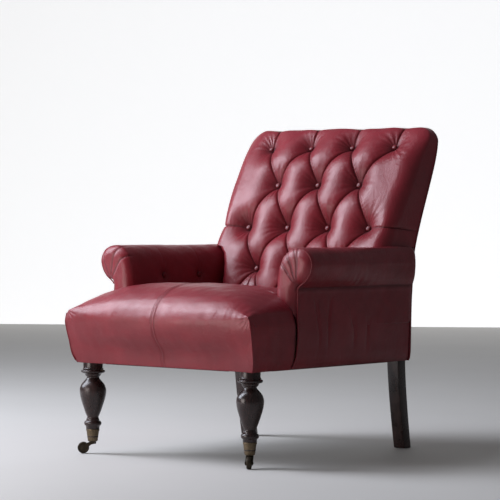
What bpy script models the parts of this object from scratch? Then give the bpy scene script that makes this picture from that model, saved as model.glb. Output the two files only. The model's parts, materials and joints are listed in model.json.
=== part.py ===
"""Buttoned leather armchair on turned, castored front legs and raked rear legs.

Run with: blender --background --python part.py
Metres, +Z up. The origin is on the floor, midway between the chair's sides and midway between
the front of its seat and the back of its crest. The sitter faces -Y.
"""

import math

import bmesh
import bpy
from mathutils import Matrix, Vector

# ---------------------------------------------------------------- driving sizes
CHAIR_DEPTH = 0.892  # front of the seat's roll to the back of the crest
CHAIR_HEIGHT = 0.920  # floor to the top of the back
BODY_WIDTH = 0.620  # across the outside arm panels
ARM_SPAN = 0.746  # across the two arm rolls at the front
SEAT_BASE = 0.2535  # floor to the underside of the seat box
SEAT_TOP = 0.474  # floor to the crown of the seat
ARM_TOP = 0.578  # floor to the crest of the arm rolls
LEATHER = 0.0018  # thickness of the hide
CLEARANCE = 0.0005  # between pieces that touch
SOFT_GAP = 0.0020  # between one upholstered piece and the next
FIT = 0.0003  # between pieces that are turned or bored to fit

# seat box and frame
RAIL_HEIGHT = 0.092
RAIL_THICK = 0.027
SEAT_SETBACK = 0.077  # front leg's axis behind the seat's front
BORDER_DEPTH = 0.065  # seat's front to the face of the front rail
SKIRT_THICK = 0.0165  # padding on the outside of the side rails, at the front
SEAT_LEG_INSET = 0.033  # leg axis to the outside of the body
T_DEPTH = 0.212  # the part of the seat that runs the full width
INSIDE_WIDTH = 0.5024  # clear width between the arms
BLOCK_SIDE = 0.055
BLOCK_BORE = 0.0113

# turned front leg
LEG_PEG_RADIUS = 0.0110
LEG_PEG_LENGTH = 0.060
LEG_STEPS = 20
CUP_TOP = 0.068  # floor to the rim of the castor cup
CUP_BOTTOM = 0.034
CUP_WALL = 0.0020
CUP_TOP_RADIUS = 0.0187
CUP_BOTTOM_RADIUS = 0.0138

# castor
WHEEL_RADIUS = 0.016
WHEEL_WIDTH = 0.0130
CHEEK_THICK = 0.0028
CHEEK_GAP = 0.0006
CASTOR_TRAIL = 0.026
SWIVEL_RADIUS = 0.0040
AXLE_RADIUS = 0.0022
CASTOR_TURN = {"left": -52.0, "right": 34.0}  # degrees the castor points from straight ahead, at rest

# rear post: leg and back upright in one piece
POST_WIDTH = 0.040
FOOT_WIDTH = 0.037
POST_REACH = 0.862  # floor to the top of the post, in a chair DRAWN_HEIGHT high

# back
DRAWN_HEIGHT = 0.920  # the chair's height that the back's profiles are drawn for
BACK_BOTTOM = 0.4665
BACK_OVER_ARM = 0.0040  # gap from the arm's crest to the back above it
BACK_FLARE = 0.016  # the back is this much wider at the top, each side
BACK_EDGE_FALL = 0.034  # how far the front of the back falls away at its sides
BUTTON_RADIUS = 0.0085
BUTTON_THICK = 0.0070
POCKET_MOUTH = 0.021
POCKET_FLOOR = 0.0115
POCKET_REACH = 0.045
BUTTON_ROWS = 4
BUTTON_PITCH_TOP = 0.149
BUTTON_PITCH_LOW = 0.142

# arms
ARM_BOARD_THICK = 0.022
ARM_BOARD_TOP = 0.522
ROLL_UNDERSIDE = 0.478
ARM_REAR_TAPER = 0.036  # how much narrower the roll stands out at the rear
ARM_BUTTONS = 2

# springs
SPRING_COUNT = 4
SPRING_WIRE = 0.0018  # radius
SPRING_SWING = 0.024  # half the width of the zigzag
SPRING_LOOPS = 7
SPRING_RISE = 0.008

# ---------------------------------------------------------------- derived places
FRONT = -CHAIR_DEPTH / 2
REAR = CHAIR_DEPTH / 2
LEG_Y = FRONT + SEAT_SETBACK
BODY_HALF = BODY_WIDTH / 2
LEG_X = BODY_HALF - SEAT_LEG_INSET
SKIN = LEATHER + CLEARANCE  # from a pad's surface to the outside of its leather
RAIL_TOP = SEAT_BASE + RAIL_HEIGHT
RAIL_FRONT = FRONT + BORDER_DEPTH
RAIL_OUT = BODY_HALF - LEATHER - SKIRT_THICK - CLEARANCE  # outer face of the side rails
SEAT_INNER_HALF = INSIDE_WIDTH / 2 - SKIN - SOFT_GAP  # seat pad between the arms
T_REAR = FRONT + T_DEPTH
ARM_FRONT = T_REAR + SKIN + SOFT_GAP
POST_FRONT = REAR - 0.160  # face of the rear post at seat level
POST_REAR = POST_FRONT + 0.0355
SPRING_Z = RAIL_TOP + SPRING_WIRE + CLEARANCE
HESSIAN_Z = SPRING_Z + SPRING_RISE + SPRING_WIRE + CLEARANCE
HESSIAN_THICK = 0.0012
PAD_FLOOR = HESSIAN_Z + HESSIAN_THICK + CLEARANCE
BACK_SHOULDER = ARM_TOP + BACK_OVER_ARM  # above this the back has its full width
ARM_NOTCH_Y = POST_FRONT - 0.053  # behind this the roll runs outside the back
ARM_BOARD_IN = INSIDE_WIDTH / 2 + 0.0145
ARM_BOARD_OUT = ARM_SPAN / 2 - 0.0275
STUMP_IN = ARM_BOARD_IN + CLEARANCE
STUMP_OUT = RAIL_OUT - 0.001


def lifted(z):
    """Height of a place drawn on a chair DRAWN_HEIGHT high: above the arms, the back stretches with the chair."""
    above = max(0.0, (z - BACK_SHOULDER) / (DRAWN_HEIGHT - BACK_SHOULDER))
    return z + (CHAIR_HEIGHT - DRAWN_HEIGHT) * above


def depth_points(*pairs):
    """Profile points (distance forward of REAR, height drawn) as (y, z)."""
    return [(REAR - back, lifted(z)) for back, z in pairs]


POST_TOP = lifted(POST_REACH)
CREST_Z = POST_TOP - 0.026  # middle of the crest rail


# side profiles of the back, bottom to top
BACK_FACE = depth_points((0.318, 0.42), (0.285, 0.523), (0.229, 0.643), (0.178, 0.768), (0.115, 0.868), (0.060, 0.918))
BACK_REAR = depth_points((0.120, 0.20), (0.119, 0.45), (0.104, 0.55), (0.073, 0.65), (0.040, 0.75), (0.010, 0.85), (0.0, 0.906))
POST_FACE = [
    (POST_FRONT, 0.45),
    (POST_FRONT + 0.035, lifted(0.62)),
    (POST_FRONT + 0.080, lifted(0.76)),
    (POST_FRONT + 0.103, POST_TOP),
]
POST_BACK = [
    (POST_REAR, 0.45),
    (POST_REAR + 0.022, lifted(0.60)),
    (POST_REAR + 0.064, lifted(0.75)),
    (POST_REAR + 0.088, POST_TOP),
]
FOOT_RAKE = 0.038  # the foot stands this far behind the leg's top
# each row of back buttons: distance forward of REAR, height
BUTTON_SEATS = [(0.080, lifted(0.868)), (0.149, lifted(0.756)), (0.200, lifted(0.631)), (0.256, lifted(0.511))]
ARM_BUTTON_SEATS = [(0.285, 0.492), (0.443, 0.492)]  # behind the leg's axis, height


def at_height(points, z):
    """Depth on a smooth profile of (y, z) points, at height z."""
    if z <= points[0][1]:
        return points[0][0]
    if z >= points[-1][1]:
        return points[-1][0]
    i = max(k for k in range(len(points) - 1) if points[k][1] <= z)
    (y0, z0), (y1, z1) = points[i], points[i + 1]
    before = points[max(i - 1, 0)]
    after = points[min(i + 2, len(points) - 1)]
    slope0 = (y1 - before[0]) / (z1 - before[1])
    slope1 = (after[0] - y0) / (after[1] - z0)
    span = z1 - z0
    t = (z - z0) / span
    return (
        y0 * (2 * t**3 - 3 * t**2 + 1)
        + slope0 * span * (t**3 - 2 * t**2 + t)
        + y1 * (3 * t**2 - 2 * t**3)
        + slope1 * span * (t**3 - t**2)
    )


def ease(t):
    """Smooth step from 0 to 1."""
    t = min(max(t, 0.0), 1.0)
    return t * t * (3 - 2 * t)


# ---------------------------------------------------------------- scene and materials
for old in list(bpy.data.objects):
    bpy.data.objects.remove(old)

chair = bpy.data.collections.new("buttoned_armchair")
cutters = bpy.data.collections.new("cutters")
bpy.context.scene.collection.children.link(chair)
bpy.context.scene.collection.children.link(cutters)


def finish(name, colour, roughness, metallic=0.0):
    material = bpy.data.materials.new(name)
    material.use_nodes = True
    shader = material.node_tree.nodes["Principled BSDF"]
    shader.inputs["Base Color"].default_value = (*colour, 1.0)
    shader.inputs["Roughness"].default_value = roughness
    shader.inputs["Metallic"].default_value = metallic
    return material


RED_LEATHER = finish("red_leather", (0.24, 0.035, 0.045), 0.38)
DARK_WOOD = finish("dark_wood", (0.022, 0.014, 0.012), 0.28)
BEECH = finish("beech", (0.55, 0.38, 0.22), 0.6)
BRASS = finish("aged_brass", (0.30, 0.21, 0.10), 0.42, 1.0)
STEEL = finish("spring_steel", (0.35, 0.35, 0.36), 0.35, 1.0)
FOAM = finish("foam", (0.72, 0.66, 0.48), 0.9)
HESSIAN = finish("hessian", (0.42, 0.30, 0.17), 0.95)
CAMBRIC = finish("black_cambric", (0.02, 0.02, 0.02), 0.95)


def move_to(collection, obj):
    for other in list(obj.users_collection):
        other.objects.unlink(obj)
    collection.objects.link(obj)
    return obj


def as_part(obj, name, material):
    obj.name = obj.data.name = name
    obj.data.materials.clear()
    obj.data.materials.append(material)
    return move_to(chair, obj)


def as_cutter(obj, name):
    obj.name = name
    obj.hide_render = True
    obj.display_type = "WIRE"
    return move_to(cutters, obj)


def cube(low, high):
    """A box primitive between two corners, scale applied."""
    low, high = Vector(low), Vector(high)
    bpy.ops.mesh.primitive_cube_add(size=1, location=(low + high) / 2)
    obj = bpy.context.object
    obj.data.transform(Matrix.Diagonal((*(high - low), 1)))
    return obj


def box_part(name, low, high, material, bevel=0.002):
    obj = as_part(cube(low, high), name, material)
    if bevel:
        rounding = obj.modifiers.new("rounding", "BEVEL")
        rounding.width = bevel
        rounding.segments = 1
    return obj


def cut(obj, cutter, operation="DIFFERENCE"):
    boolean = obj.modifiers.new("cut", "BOOLEAN")
    boolean.operation = operation
    boolean.object = cutter
    boolean.solver = "EXACT"


def evaluated_copy(obj, name):
    """A mesh object with obj's modifiers applied, in obj's place, its faces cut into triangles."""
    graph = bpy.context.evaluated_depsgraph_get()
    mesh = bpy.data.meshes.new_from_object(obj.evaluated_get(graph))
    bm = bmesh.new()
    bm.from_mesh(mesh)
    bmesh.ops.triangulate(bm, faces=bm.faces)
    bm.to_mesh(mesh)
    bm.free()
    copy = bpy.data.objects.new(name, mesh)
    copy.matrix_world = obj.matrix_world
    bpy.context.scene.collection.objects.link(copy)
    return copy


def turned(name, profile, steps, material):
    """A solid of revolution about its own Z axis; profile runs down its outer side, (radius, z)."""
    mesh = bpy.data.meshes.new(name)
    mesh.from_pydata([(r, 0, z) for r, z in profile], [(i, i + 1) for i in range(len(profile) - 1)], [])
    obj = bpy.data.objects.new(name, mesh)
    bpy.context.scene.collection.objects.link(obj)
    spin = obj.modifiers.new("turn", "SCREW")
    spin.steps = spin.render_steps = steps
    spin.use_merge_vertices = True
    spin.merge_threshold = 0.00002
    spin.use_smooth_shade = True
    return as_part(obj, name, material)


def outline_solid(name, outline, thickness, holes=()):
    """A flat outline of (u, v) points in its own XY plane, thickness thick about it, as a mesh."""
    data = bpy.data.curves.new(name, "CURVE")
    data.dimensions = "2D"
    data.fill_mode = "BOTH"
    data.extrude = thickness / 2
    for loop in (outline, *holes):
        spline = data.splines.new("POLY")
        spline.points.add(len(loop) - 1)
        for point, (u, v) in zip(spline.points, loop):
            point.co = (u, v, 0, 1)
        spline.use_cyclic_u = True
    curve = bpy.data.objects.new(name + "_curve", data)
    bpy.context.scene.collection.objects.link(curve)
    bpy.context.view_layer.update()
    solid = evaluated_copy(curve, name)
    bpy.data.objects.remove(curve)
    bm = bmesh.new()
    bm.from_mesh(solid.data)
    bmesh.ops.remove_doubles(bm, verts=bm.verts, dist=0.00001)
    bm.to_mesh(solid.data)
    bm.free()
    return solid


def side_view(obj):
    """Turns a flat outline of (y, z) so that it stands in the YZ plane, thickness along X."""
    obj.data.transform(Matrix(((0, 0, 1, 0), (1, 0, 0, 0), (0, 1, 0, 0), (0, 0, 0, 1))))
    return obj


def front_view(obj):
    """Turns a flat outline of (x, z) so that it stands in the XZ plane, thickness along Y."""
    obj.data.transform(Matrix(((1, 0, 0, 0), (0, 0, 1, 0), (0, 1, 0, 0), (0, 0, 0, 1))))
    obj.data.flip_normals()
    return obj


def soft_block(low, high, x_cuts, y_cuts, z_cuts, shape):
    """A box cut into a grid at the given shares of its sides, each corner then moved by shape."""
    obj = cube(low, high)
    obj.data.transform(Matrix.Translation(obj.location))
    obj.location = (0, 0, 0)
    bm = bmesh.new()
    bm.from_mesh(obj.data)
    for axis, shares in enumerate((x_cuts, y_cuts, z_cuts)):
        normal = Vector((axis == 0, axis == 1, axis == 2))
        for share in shares:
            place = Vector(low) + (Vector(high) - Vector(low)) * share
            geometry = bm.verts[:] + bm.edges[:] + bm.faces[:]
            bmesh.ops.bisect_plane(bm, geom=geometry, plane_co=place, plane_no=normal, dist=1e-6)
    for vert in bm.verts:
        vert.co = shape(vert.co)
    bmesh.ops.triangulate(bm, faces=bm.faces)
    bm.to_mesh(obj.data)
    bm.free()
    return obj


def even(count):
    """Shares of a side that cut it into count equal parts."""
    return [i / count for i in range(1, count)]


def drop_faces(obj, unwanted):
    """Opens a shell by removing the faces for which unwanted(centre, normal) is true."""
    bm = bmesh.new()
    bm.from_mesh(obj.data)
    doomed = [f for f in bm.faces if unwanted(f.calc_center_median(), f.normal)]
    bmesh.ops.delete(bm, geom=doomed, context="FACES")
    bm.to_mesh(obj.data)
    bm.free()


def settled(obj):
    """The shape with its cuts made, so that its pad and its cover start from the same faces."""
    copy = evaluated_copy(obj, obj.name + "_settled")
    as_cutter(obj, obj.name)
    return as_cutter(copy, copy.name)


def leather_over(obj, name, unwanted):
    """A hide one CLEARANCE above a soft solid, open where unwanted says."""
    skin = evaluated_copy(obj, name)
    drop_faces(skin, unwanted)
    wall = skin.modifiers.new("hide", "SOLIDIFY")
    wall.thickness = LEATHER
    wall.offset = 1 + 2 * CLEARANCE / LEATHER
    wall.use_even_offset = True
    return as_part(skin, name, RED_LEATHER)


def mirrored(obj, name, material):
    """The same piece on the chair's other side."""
    twin = evaluated_copy(obj, name)
    twin.data.transform(Matrix.Diagonal((-1, 1, 1, 1)) @ twin.matrix_world)
    twin.matrix_world = Matrix.Identity(4)
    twin.data.flip_normals()
    return as_part(twin, name, material)


# ---------------------------------------------------------------- rear posts
def post_outer_face(z):
    """X of the post's outer face: it leans outwards from the foot to the crest."""
    knots = [(0.297, 0.0), (0.300, SEAT_BASE), (0.300, 0.45), (0.302, POST_TOP)]
    return at_height([(BODY_HALF - 0.310 + x, height) for x, height in knots], z)


def post_width(z):
    return FOOT_WIDTH + (POST_WIDTH - FOOT_WIDTH) * ease(z / SEAT_BASE)


def make_posts():
    face = [(POST_FRONT + FOOT_RAKE, 0.0), (POST_FRONT + 0.35 * FOOT_RAKE, 0.13), (POST_FRONT, SEAT_BASE)]
    back = [(POST_REAR + FOOT_RAKE, 0.0), (POST_REAR + 0.35 * FOOT_RAKE, 0.13), (POST_REAR, SEAT_BASE)]
    heights = [0.45, 0.535, lifted(0.62), lifted(0.69), lifted(0.76), lifted(0.81), POST_TOP]
    face += [(at_height(POST_FACE, z), z) for z in heights]
    back += [(at_height(POST_BACK, z), z) for z in heights]
    post = side_view(outline_solid("rear_post_right", face + back[::-1], 1.0))
    for vert in post.data.vertices:
        z = vert.co.z
        inner = post_outer_face(z) - post_width(z)
        vert.co.x = inner + (vert.co.x + 0.5) * post_width(z)
    as_part(post, "rear_post_right", DARK_WOOD)
    rounding = post.modifiers.new("rounding", "BEVEL")
    rounding.width = 0.0025
    rounding.segments = 1
    rounding.limit_method = "ANGLE"
    rounding.angle_limit = math.radians(40)
    mirrored(post, "rear_post_left", DARK_WOOD)


# ---------------------------------------------------------------- frame
def bored_block(name, side):
    """Front corner block: the leg's peg goes up its bore."""
    outer = side * RAIL_OUT
    inner = side * (RAIL_OUT - BLOCK_SIDE)
    low = (min(outer, inner), RAIL_FRONT, SEAT_BASE)
    high = (max(outer, inner), RAIL_FRONT + BLOCK_SIDE, RAIL_TOP)
    block = box_part(name, low, high, BEECH, bevel=0)
    bpy.ops.mesh.primitive_cylinder_add(
        vertices=LEG_STEPS,
        radius=BLOCK_BORE / math.cos(math.pi / LEG_STEPS),
        depth=3 * RAIL_HEIGHT,
        location=(side * LEG_X, LEG_Y, RAIL_TOP),
    )
    cut(block, as_cutter(bpy.context.object, name + "_bore"))


def make_frame():
    for side, hand in ((-1, "left"), (1, "right")):
        bored_block(f"corner_block_{hand}", side)
        outer = side * RAIL_OUT
        inner = side * (RAIL_OUT - RAIL_THICK)
        low_x, high_x = min(outer, inner), max(outer, inner)
        rail_start = RAIL_FRONT + BLOCK_SIDE + CLEARANCE
        box_part(
            f"side_rail_{hand}",
            (low_x, rail_start, SEAT_BASE),
            (high_x, POST_FRONT - CLEARANCE, RAIL_TOP),
            BEECH,
        )
        box_part(
            f"arm_stump_{hand}",
            (min(side * STUMP_IN, side * STUMP_OUT), ARM_FRONT + 0.020, RAIL_TOP + CLEARANCE),
            (max(side * STUMP_IN, side * STUMP_OUT), ARM_FRONT + 0.060, ARM_BOARD_TOP - ARM_BOARD_THICK - CLEARANCE),
            BEECH,
        )
        front, rear = ARM_FRONT + 0.015, POST_FRONT - CLEARANCE
        outline = [
            (side * ARM_BOARD_IN, front), (side * ARM_BOARD_OUT, front),
            (side * (ARM_BOARD_OUT - ARM_REAR_TAPER), rear), (side * ARM_BOARD_IN, rear),
        ]
        board = outline_solid(f"arm_board_{hand}", outline, ARM_BOARD_THICK)
        board.location.z = ARM_BOARD_TOP - ARM_BOARD_THICK / 2
        as_part(board, f"arm_board_{hand}", BEECH)
    block_inner = RAIL_OUT - BLOCK_SIDE - CLEARANCE
    box_part(
        "front_rail",
        (-block_inner, RAIL_FRONT, SEAT_BASE),
        (block_inner, RAIL_FRONT + RAIL_THICK, RAIL_TOP),
        BEECH,
    )
    between = post_outer_face(SEAT_BASE) - POST_WIDTH - 2 * CLEARANCE
    box_part(
        "back_rail",
        (-between, POST_FRONT + 0.003, SEAT_BASE),
        (between, POST_FRONT + 0.003 + RAIL_THICK, RAIL_TOP),
        BEECH,
    )
    box_part(
        "lower_back_rail",
        (-between, POST_FRONT + 0.003, 0.395),
        (between, POST_FRONT + 0.003 + RAIL_THICK, 0.445),
        BEECH,
    )
    crest_half = post_outer_face(lifted(0.80)) - POST_WIDTH - 2 * CLEARANCE
    crest_y = (at_height(POST_FACE, CREST_Z) + at_height(POST_BACK, CREST_Z)) / 2 + 0.002
    crest = cube((-crest_half, -0.012, -0.022), (crest_half, 0.012, 0.022))
    crest.data.transform(Matrix.Rotation(math.radians(-10), 4, "X"))
    crest.location = (0, crest_y, CREST_Z)
    as_part(crest, "crest_rail", BEECH)


# ---------------------------------------------------------------- springs, hessian and webbing
def make_springs():
    spacing = (2 * (RAIL_OUT - BLOCK_SIDE) - 0.02) / SPRING_COUNT
    y_start = RAIL_FRONT + RAIL_THICK / 2
    y_end = POST_FRONT + 0.003 + RAIL_THICK / 2
    points_per_loop = 4
    count = SPRING_LOOPS * points_per_loop
    for number in range(SPRING_COUNT):
        centre_x = (number - (SPRING_COUNT - 1) / 2) * spacing
        data = bpy.data.curves.new("spring", "CURVE")
        data.dimensions = "3D"
        data.bevel_depth = SPRING_WIRE
        data.bevel_resolution = 2
        data.use_fill_caps = True
        spline = data.splines.new("POLY")
        spline.points.add(count)
        for k, point in enumerate(spline.points):
            share = k / count
            swing = math.sin(2 * math.pi * k / points_per_loop + math.pi / 4)
            flat_swing = max(-0.72, min(0.72, swing)) / 0.72
            rise = SPRING_RISE * math.sin(math.pi * share)
            y = y_start + (y_end - y_start) * share
            point.co = (centre_x + SPRING_SWING * flat_swing, y, SPRING_Z + rise, 1)
        spring = bpy.data.objects.new("spring", data)
        bpy.context.scene.collection.objects.link(spring)
        as_part(spring, f"seat_spring_{number + 1}", STEEL)


def make_cloths():
    half = STUMP_IN - CLEARANCE
    box_part(
        "seat_hessian",
        (-half, RAIL_FRONT + 0.002, HESSIAN_Z),
        (half, POST_FRONT - 0.030, HESSIAN_Z + HESSIAN_THICK),
        HESSIAN,
        bevel=0,
    )
    # the bottom cloth is notched round the legs
    wide, notch = BODY_HALF - 0.012, 0.085
    front, rear = FRONT + 0.060, POST_REAR - 0.004
    outline = [
        (-wide + notch, front), (wide - notch, front), (wide - notch, front + notch), (wide, front + notch),
        (wide, rear - notch), (wide - notch, rear - notch), (wide - notch, rear), (-wide + notch, rear),
        (-wide + notch, rear - notch), (-wide, rear - notch), (-wide, front + notch), (-wide + notch, front + notch),
    ]
    cloth = outline_solid("dust_cover", outline, 0.0012)
    cloth.location.z = SEAT_BASE - 0.0012
    as_part(cloth, "dust_cover", CAMBRIC)


def make_webbing():
    """Woven strips across the back frame, as one lattice that follows the posts' faces."""
    half, low, high = SEAT_INNER_HALF - 0.003, 0.420, lifted(0.860)
    columns, rows, strip = 4, 4, 0.050
    hole_w = (2 * half - (columns + 1) * strip) / columns
    hole_h = (high - low - (rows + 1) * strip) / rows
    holes = []
    for i in range(columns):
        for j in range(rows):
            x = -half + strip + i * (hole_w + strip)
            z = low + strip + j * (hole_h + strip)
            holes.append([(x, z), (x, z + hole_h), (x + hole_w, z + hole_h), (x + hole_w, z)])
    lattice = outline_solid("back_webbing", [(-half, low), (half, low), (half, high), (-half, high)], 0.002, holes)
    for vert in lattice.data.vertices:
        x, z, out = vert.co
        vert.co = (x, at_height(POST_FACE, z) - 0.0035 - out, z)
    lattice.data.flip_normals()
    bm = bmesh.new()
    bm.from_mesh(lattice.data)
    bmesh.ops.recalc_face_normals(bm, faces=bm.faces)
    bm.to_mesh(lattice.data)
    bm.free()
    as_part(lattice, "back_webbing", HESSIAN)


# ---------------------------------------------------------------- seat
def seat_shape(co):
    """Rounds the seat block: a front that rolls out over a tucked base, and a domed top."""
    half = BODY_HALF - SKIN
    a = co.x / half
    front = FRONT + SKIN
    depth = POST_FRONT - 0.080 - front
    b = (co.y - front) / depth
    c = (co.z - SEAT_BASE) / (SEAT_TOP - SEAT_BASE)
    tuck = 0.048 * (1 - ease(c / 0.66)) * (1 - 0.35 * a**4) + 0.024 * max(0.0, (c - 0.76) / 0.24) ** 2
    tuck += 0.014 * a**4
    y = co.y + tuck * max(0.0, 1 - 5 * b)
    x = co.x * (1 - 0.030 * max(0.0, (c - 0.75) / 0.25) ** 2)
    crown = 0.046 * abs(a) ** 3 + 0.036 * max(0.0, 1 - 4.5 * b) ** 2 + 0.022 * max(0.0, (b - 0.35) / 0.65)
    z = SEAT_BASE + c * (SEAT_TOP - SKIN - SEAT_BASE - crown * c)
    return Vector((x, y, z))


def make_seat():
    half = BODY_HALF - SKIN
    front, rear = FRONT + SKIN, POST_FRONT - 0.080
    whole = soft_block(
        (-half, front, SEAT_BASE),
        (half, rear, SEAT_TOP),
        [0.05, 0.12, 0.25, 0.42, 0.58, 0.75, 0.88, 0.95],
        [0.05, 0.12, 0.25, 0.4, 0.6, 0.8],
        [0.3, 0.6, 0.8, 0.92],
        seat_shape,
    )
    for side in (-1, 1):
        near, far = side * SEAT_INNER_HALF, side * BODY_WIDTH
        arm_room = cube(
            (min(near, far), T_REAR, SEAT_BASE - 0.1),
            (max(near, far), REAR, ARM_TOP + 0.1),
        )
        cut(whole, as_cutter(arm_room, "arm_room"))
    whole = settled(whole)
    cover = leather_over(
        whole,
        "seat_cover",
        lambda centre, normal: normal.z < -0.7 or (normal.y > 0.7 and centre.y > rear - 0.01),
    )
    pad = evaluated_copy(whole, "seat_pad")
    frame_room = cube(
        (-RAIL_OUT - CLEARANCE, RAIL_FRONT - CLEARANCE, SEAT_BASE - 0.1),
        (RAIL_OUT + CLEARANCE, REAR, PAD_FLOOR),
    )
    as_cutter(frame_room, "frame_room")
    cut(cover, frame_room)
    cut(pad, frame_room)
    as_part(pad, "seat_pad", FOAM)


# ---------------------------------------------------------------- back
def back_half_width(z):
    return BODY_HALF - 0.001 - SKIN + BACK_FLARE * ease((z - BACK_SHOULDER) / 0.30)


def back_shape(co):
    """Moves the back block's corners onto the face and rear profiles, with rounded edges."""
    top = CHAIR_HEIGHT - SKIN
    a, b = co.x, co.y
    c = (co.z - BACK_BOTTOM) / (top - BACK_BOTTOM)
    z = co.z
    half = back_half_width(z)
    near_top = max(0.0, (c - 0.84) / 0.16)
    corner = max(0.0, (abs(a) - 0.80) / 0.20)
    z -= 0.036 * near_top * corner**2 + 0.030 * near_top * (1 - b) ** 2
    half -= 0.022 * near_top**2 * min(1.0, abs(a) * 1.2)
    face = at_height(BACK_FACE, z) + SKIN + BACK_EDGE_FALL * abs(a) ** 4
    rear = at_height(BACK_REAR, z) - LEATHER - CLEARANCE - 0.0006 - 0.010 * near_top**2 * b
    return Vector((a * half, face + (rear - face) * b, z))


def button_axis(forward, z):
    """Unit vector out of the back's face at a height, towards the sitter."""
    step = 0.01
    lean = (at_height(BACK_FACE, z + step) - at_height(BACK_FACE, z - step)) / (2 * step)
    return Vector((0, -1, lean)).normalized()


def back_button_places():
    """(name, place, axis) of each button on the back: four and three to a row, in diamonds."""
    places = []
    for row, (back, z) in enumerate(BUTTON_SEATS[:BUTTON_ROWS]):
        share = row / (len(BUTTON_SEATS) - 1)
        pitch = BUTTON_PITCH_TOP + (BUTTON_PITCH_LOW - BUTTON_PITCH_TOP) * share
        count = 4 if row % 2 == 0 else 3
        for column in range(count):
            x = (column - (count - 1) / 2) * pitch
            axis = button_axis(back, z)
            places.append((f"back_button_{row + 1}_{column + 1}", Vector((x, REAR - back, z)), axis))
    return places


def pocket(place, axis, name):
    """Cone cutter for the well that a button is pulled down into."""
    under = BUTTON_THICK / 2 + SKIN + CLEARANCE
    base = place - axis * under
    bpy.ops.mesh.primitive_cone_add(
        vertices=12,
        radius1=POCKET_FLOOR,
        radius2=POCKET_FLOOR + (POCKET_MOUTH - POCKET_FLOOR) * POCKET_REACH / 0.032,
        depth=POCKET_REACH,
        location=base + axis * POCKET_REACH / 2,
        rotation=axis.to_track_quat("Z", "Y").to_euler(),
    )
    return as_cutter(bpy.context.object, name)


def button(name, place, axis):
    bpy.ops.mesh.primitive_uv_sphere_add(segments=10, ring_count=5, radius=BUTTON_RADIUS, location=place)
    obj = bpy.context.object
    obj.data.transform(Matrix.Diagonal((1, 1, BUTTON_THICK / (2 * BUTTON_RADIUS), 1)))
    obj.rotation_euler = axis.to_track_quat("Z", "Y").to_euler()
    obj.data.shade_smooth()
    as_part(obj, name, RED_LEATHER)


def make_back():
    top = CHAIR_HEIGHT - SKIN
    whole = soft_block(
        (-1, 0, BACK_BOTTOM),
        (1, 1, top),
        [0.05, 0.12, 0.25, 0.42, 0.58, 0.75, 0.88, 0.95],
        [0.25, 0.6],
        [0.13, 0.255, 0.4, 0.55, 0.7, 0.82, 0.91],
        back_shape,
    )
    for side in (-1, 1):
        near, far = side * SEAT_INNER_HALF, side * BODY_WIDTH
        arm_room = cube((min(near, far), FRONT, 0.1), (max(near, far), 2 * REAR, BACK_SHOULDER))
        cut(whole, as_cutter(arm_room, "back_arm_room"))
    for name, place, axis in back_button_places():
        cut(whole, pocket(place, axis, name + "_pocket"))
        button(name, place, axis)
    clear = 0.010  # room for the webbing
    heights = (0.40, 0.50, 0.56, lifted(0.62), lifted(0.69), lifted(0.76), lifted(0.82), POST_TOP)
    outline = [(at_height(POST_FACE, z) - clear, z) for z in heights]
    ceiling = POST_TOP + 0.022
    outline = [(outline[0][0], 0.30), *outline[:-1], (outline[-1][0], ceiling), (REAR + 0.1, ceiling), (REAR + 0.1, 0.30)]
    room_half = post_outer_face(POST_TOP) + 0.0015
    cut(whole, as_cutter(side_view(outline_solid("back_frame_room", outline, 2 * room_half)), "back_frame_room"))
    whole = settled(whole)

    def unseen(centre, normal):
        behind = centre.y > at_height(POST_FACE, centre.z) - clear - 0.003
        room_side = abs(abs(centre.x) - room_half) < 0.0005 and abs(normal.x) > 0.9
        return (
            (normal.z < -0.5 and centre.z < BACK_BOTTOM + 0.001)
            or (normal.z < -0.9 and abs(centre.z - ceiling) < 0.0005)
            or (behind and (normal.y > 0.55 or room_side))
        )

    leather_over(whole, "inside_back_cover", unseen)
    pad = evaluated_copy(whole, "back_pad")
    for side in (-1, 1):
        # relief where the cover folds over the arm
        near, far = side * (SEAT_INNER_HALF - 0.004), side * (SEAT_INNER_HALF + 0.010)
        relief = cube((min(near, far), FRONT, BACK_SHOULDER - 0.004), (max(near, far), 2 * REAR, BACK_SHOULDER + 0.002))
        cut(pad, as_cutter(relief, "fold_relief"))
    as_part(pad, "back_pad", FOAM)


def make_outside_back():
    """Hide drawn over the rear of the frame, from the seat's base to the crest."""
    low, high = SEAT_BASE, CHAIR_HEIGHT - SKIN

    def shape(co):
        edge = back_shape(Vector((co.x, 1, co.z)))
        return Vector((edge.x + co.x * (SKIN - 0.0005), at_height(BACK_REAR, edge.z) - LEATHER * (1 - co.y), edge.z))

    panel = soft_block((-1, 0, low), (1, 1, high), [0.07, 0.5, 0.93], [], even(14), shape)
    as_part(panel, "outside_back_panel", RED_LEATHER)


# ---------------------------------------------------------------- arms
def arm_outline():
    """Half section of the right arm's padding, (x, z): a stem with the roll on top."""
    stem_in = INSIDE_WIDTH / 2 + SKIN
    stem_out = BODY_HALF - LEATHER - CLEARANCE - SKIN
    roll_out = ARM_SPAN / 2 - SKIN
    centre_x, radius_x = (stem_in + roll_out) / 2, (roll_out - stem_in) / 2
    centre_z, radius_z = (ARM_TOP - SKIN + ROLL_UNDERSIDE) / 2, (ARM_TOP - SKIN - ROLL_UNDERSIDE) / 2
    arc = []
    start, stop, count = math.radians(-72), math.radians(180), 14
    for k in range(count + 1):
        angle = start + (stop - start) * k / count
        arc.append((centre_x + radius_x * math.cos(angle), centre_z + radius_z * math.sin(angle)))
    foot = PAD_FLOOR
    return [(stem_in, foot), (stem_out, foot), (stem_out, ROLL_UNDERSIDE), *arc]


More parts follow.
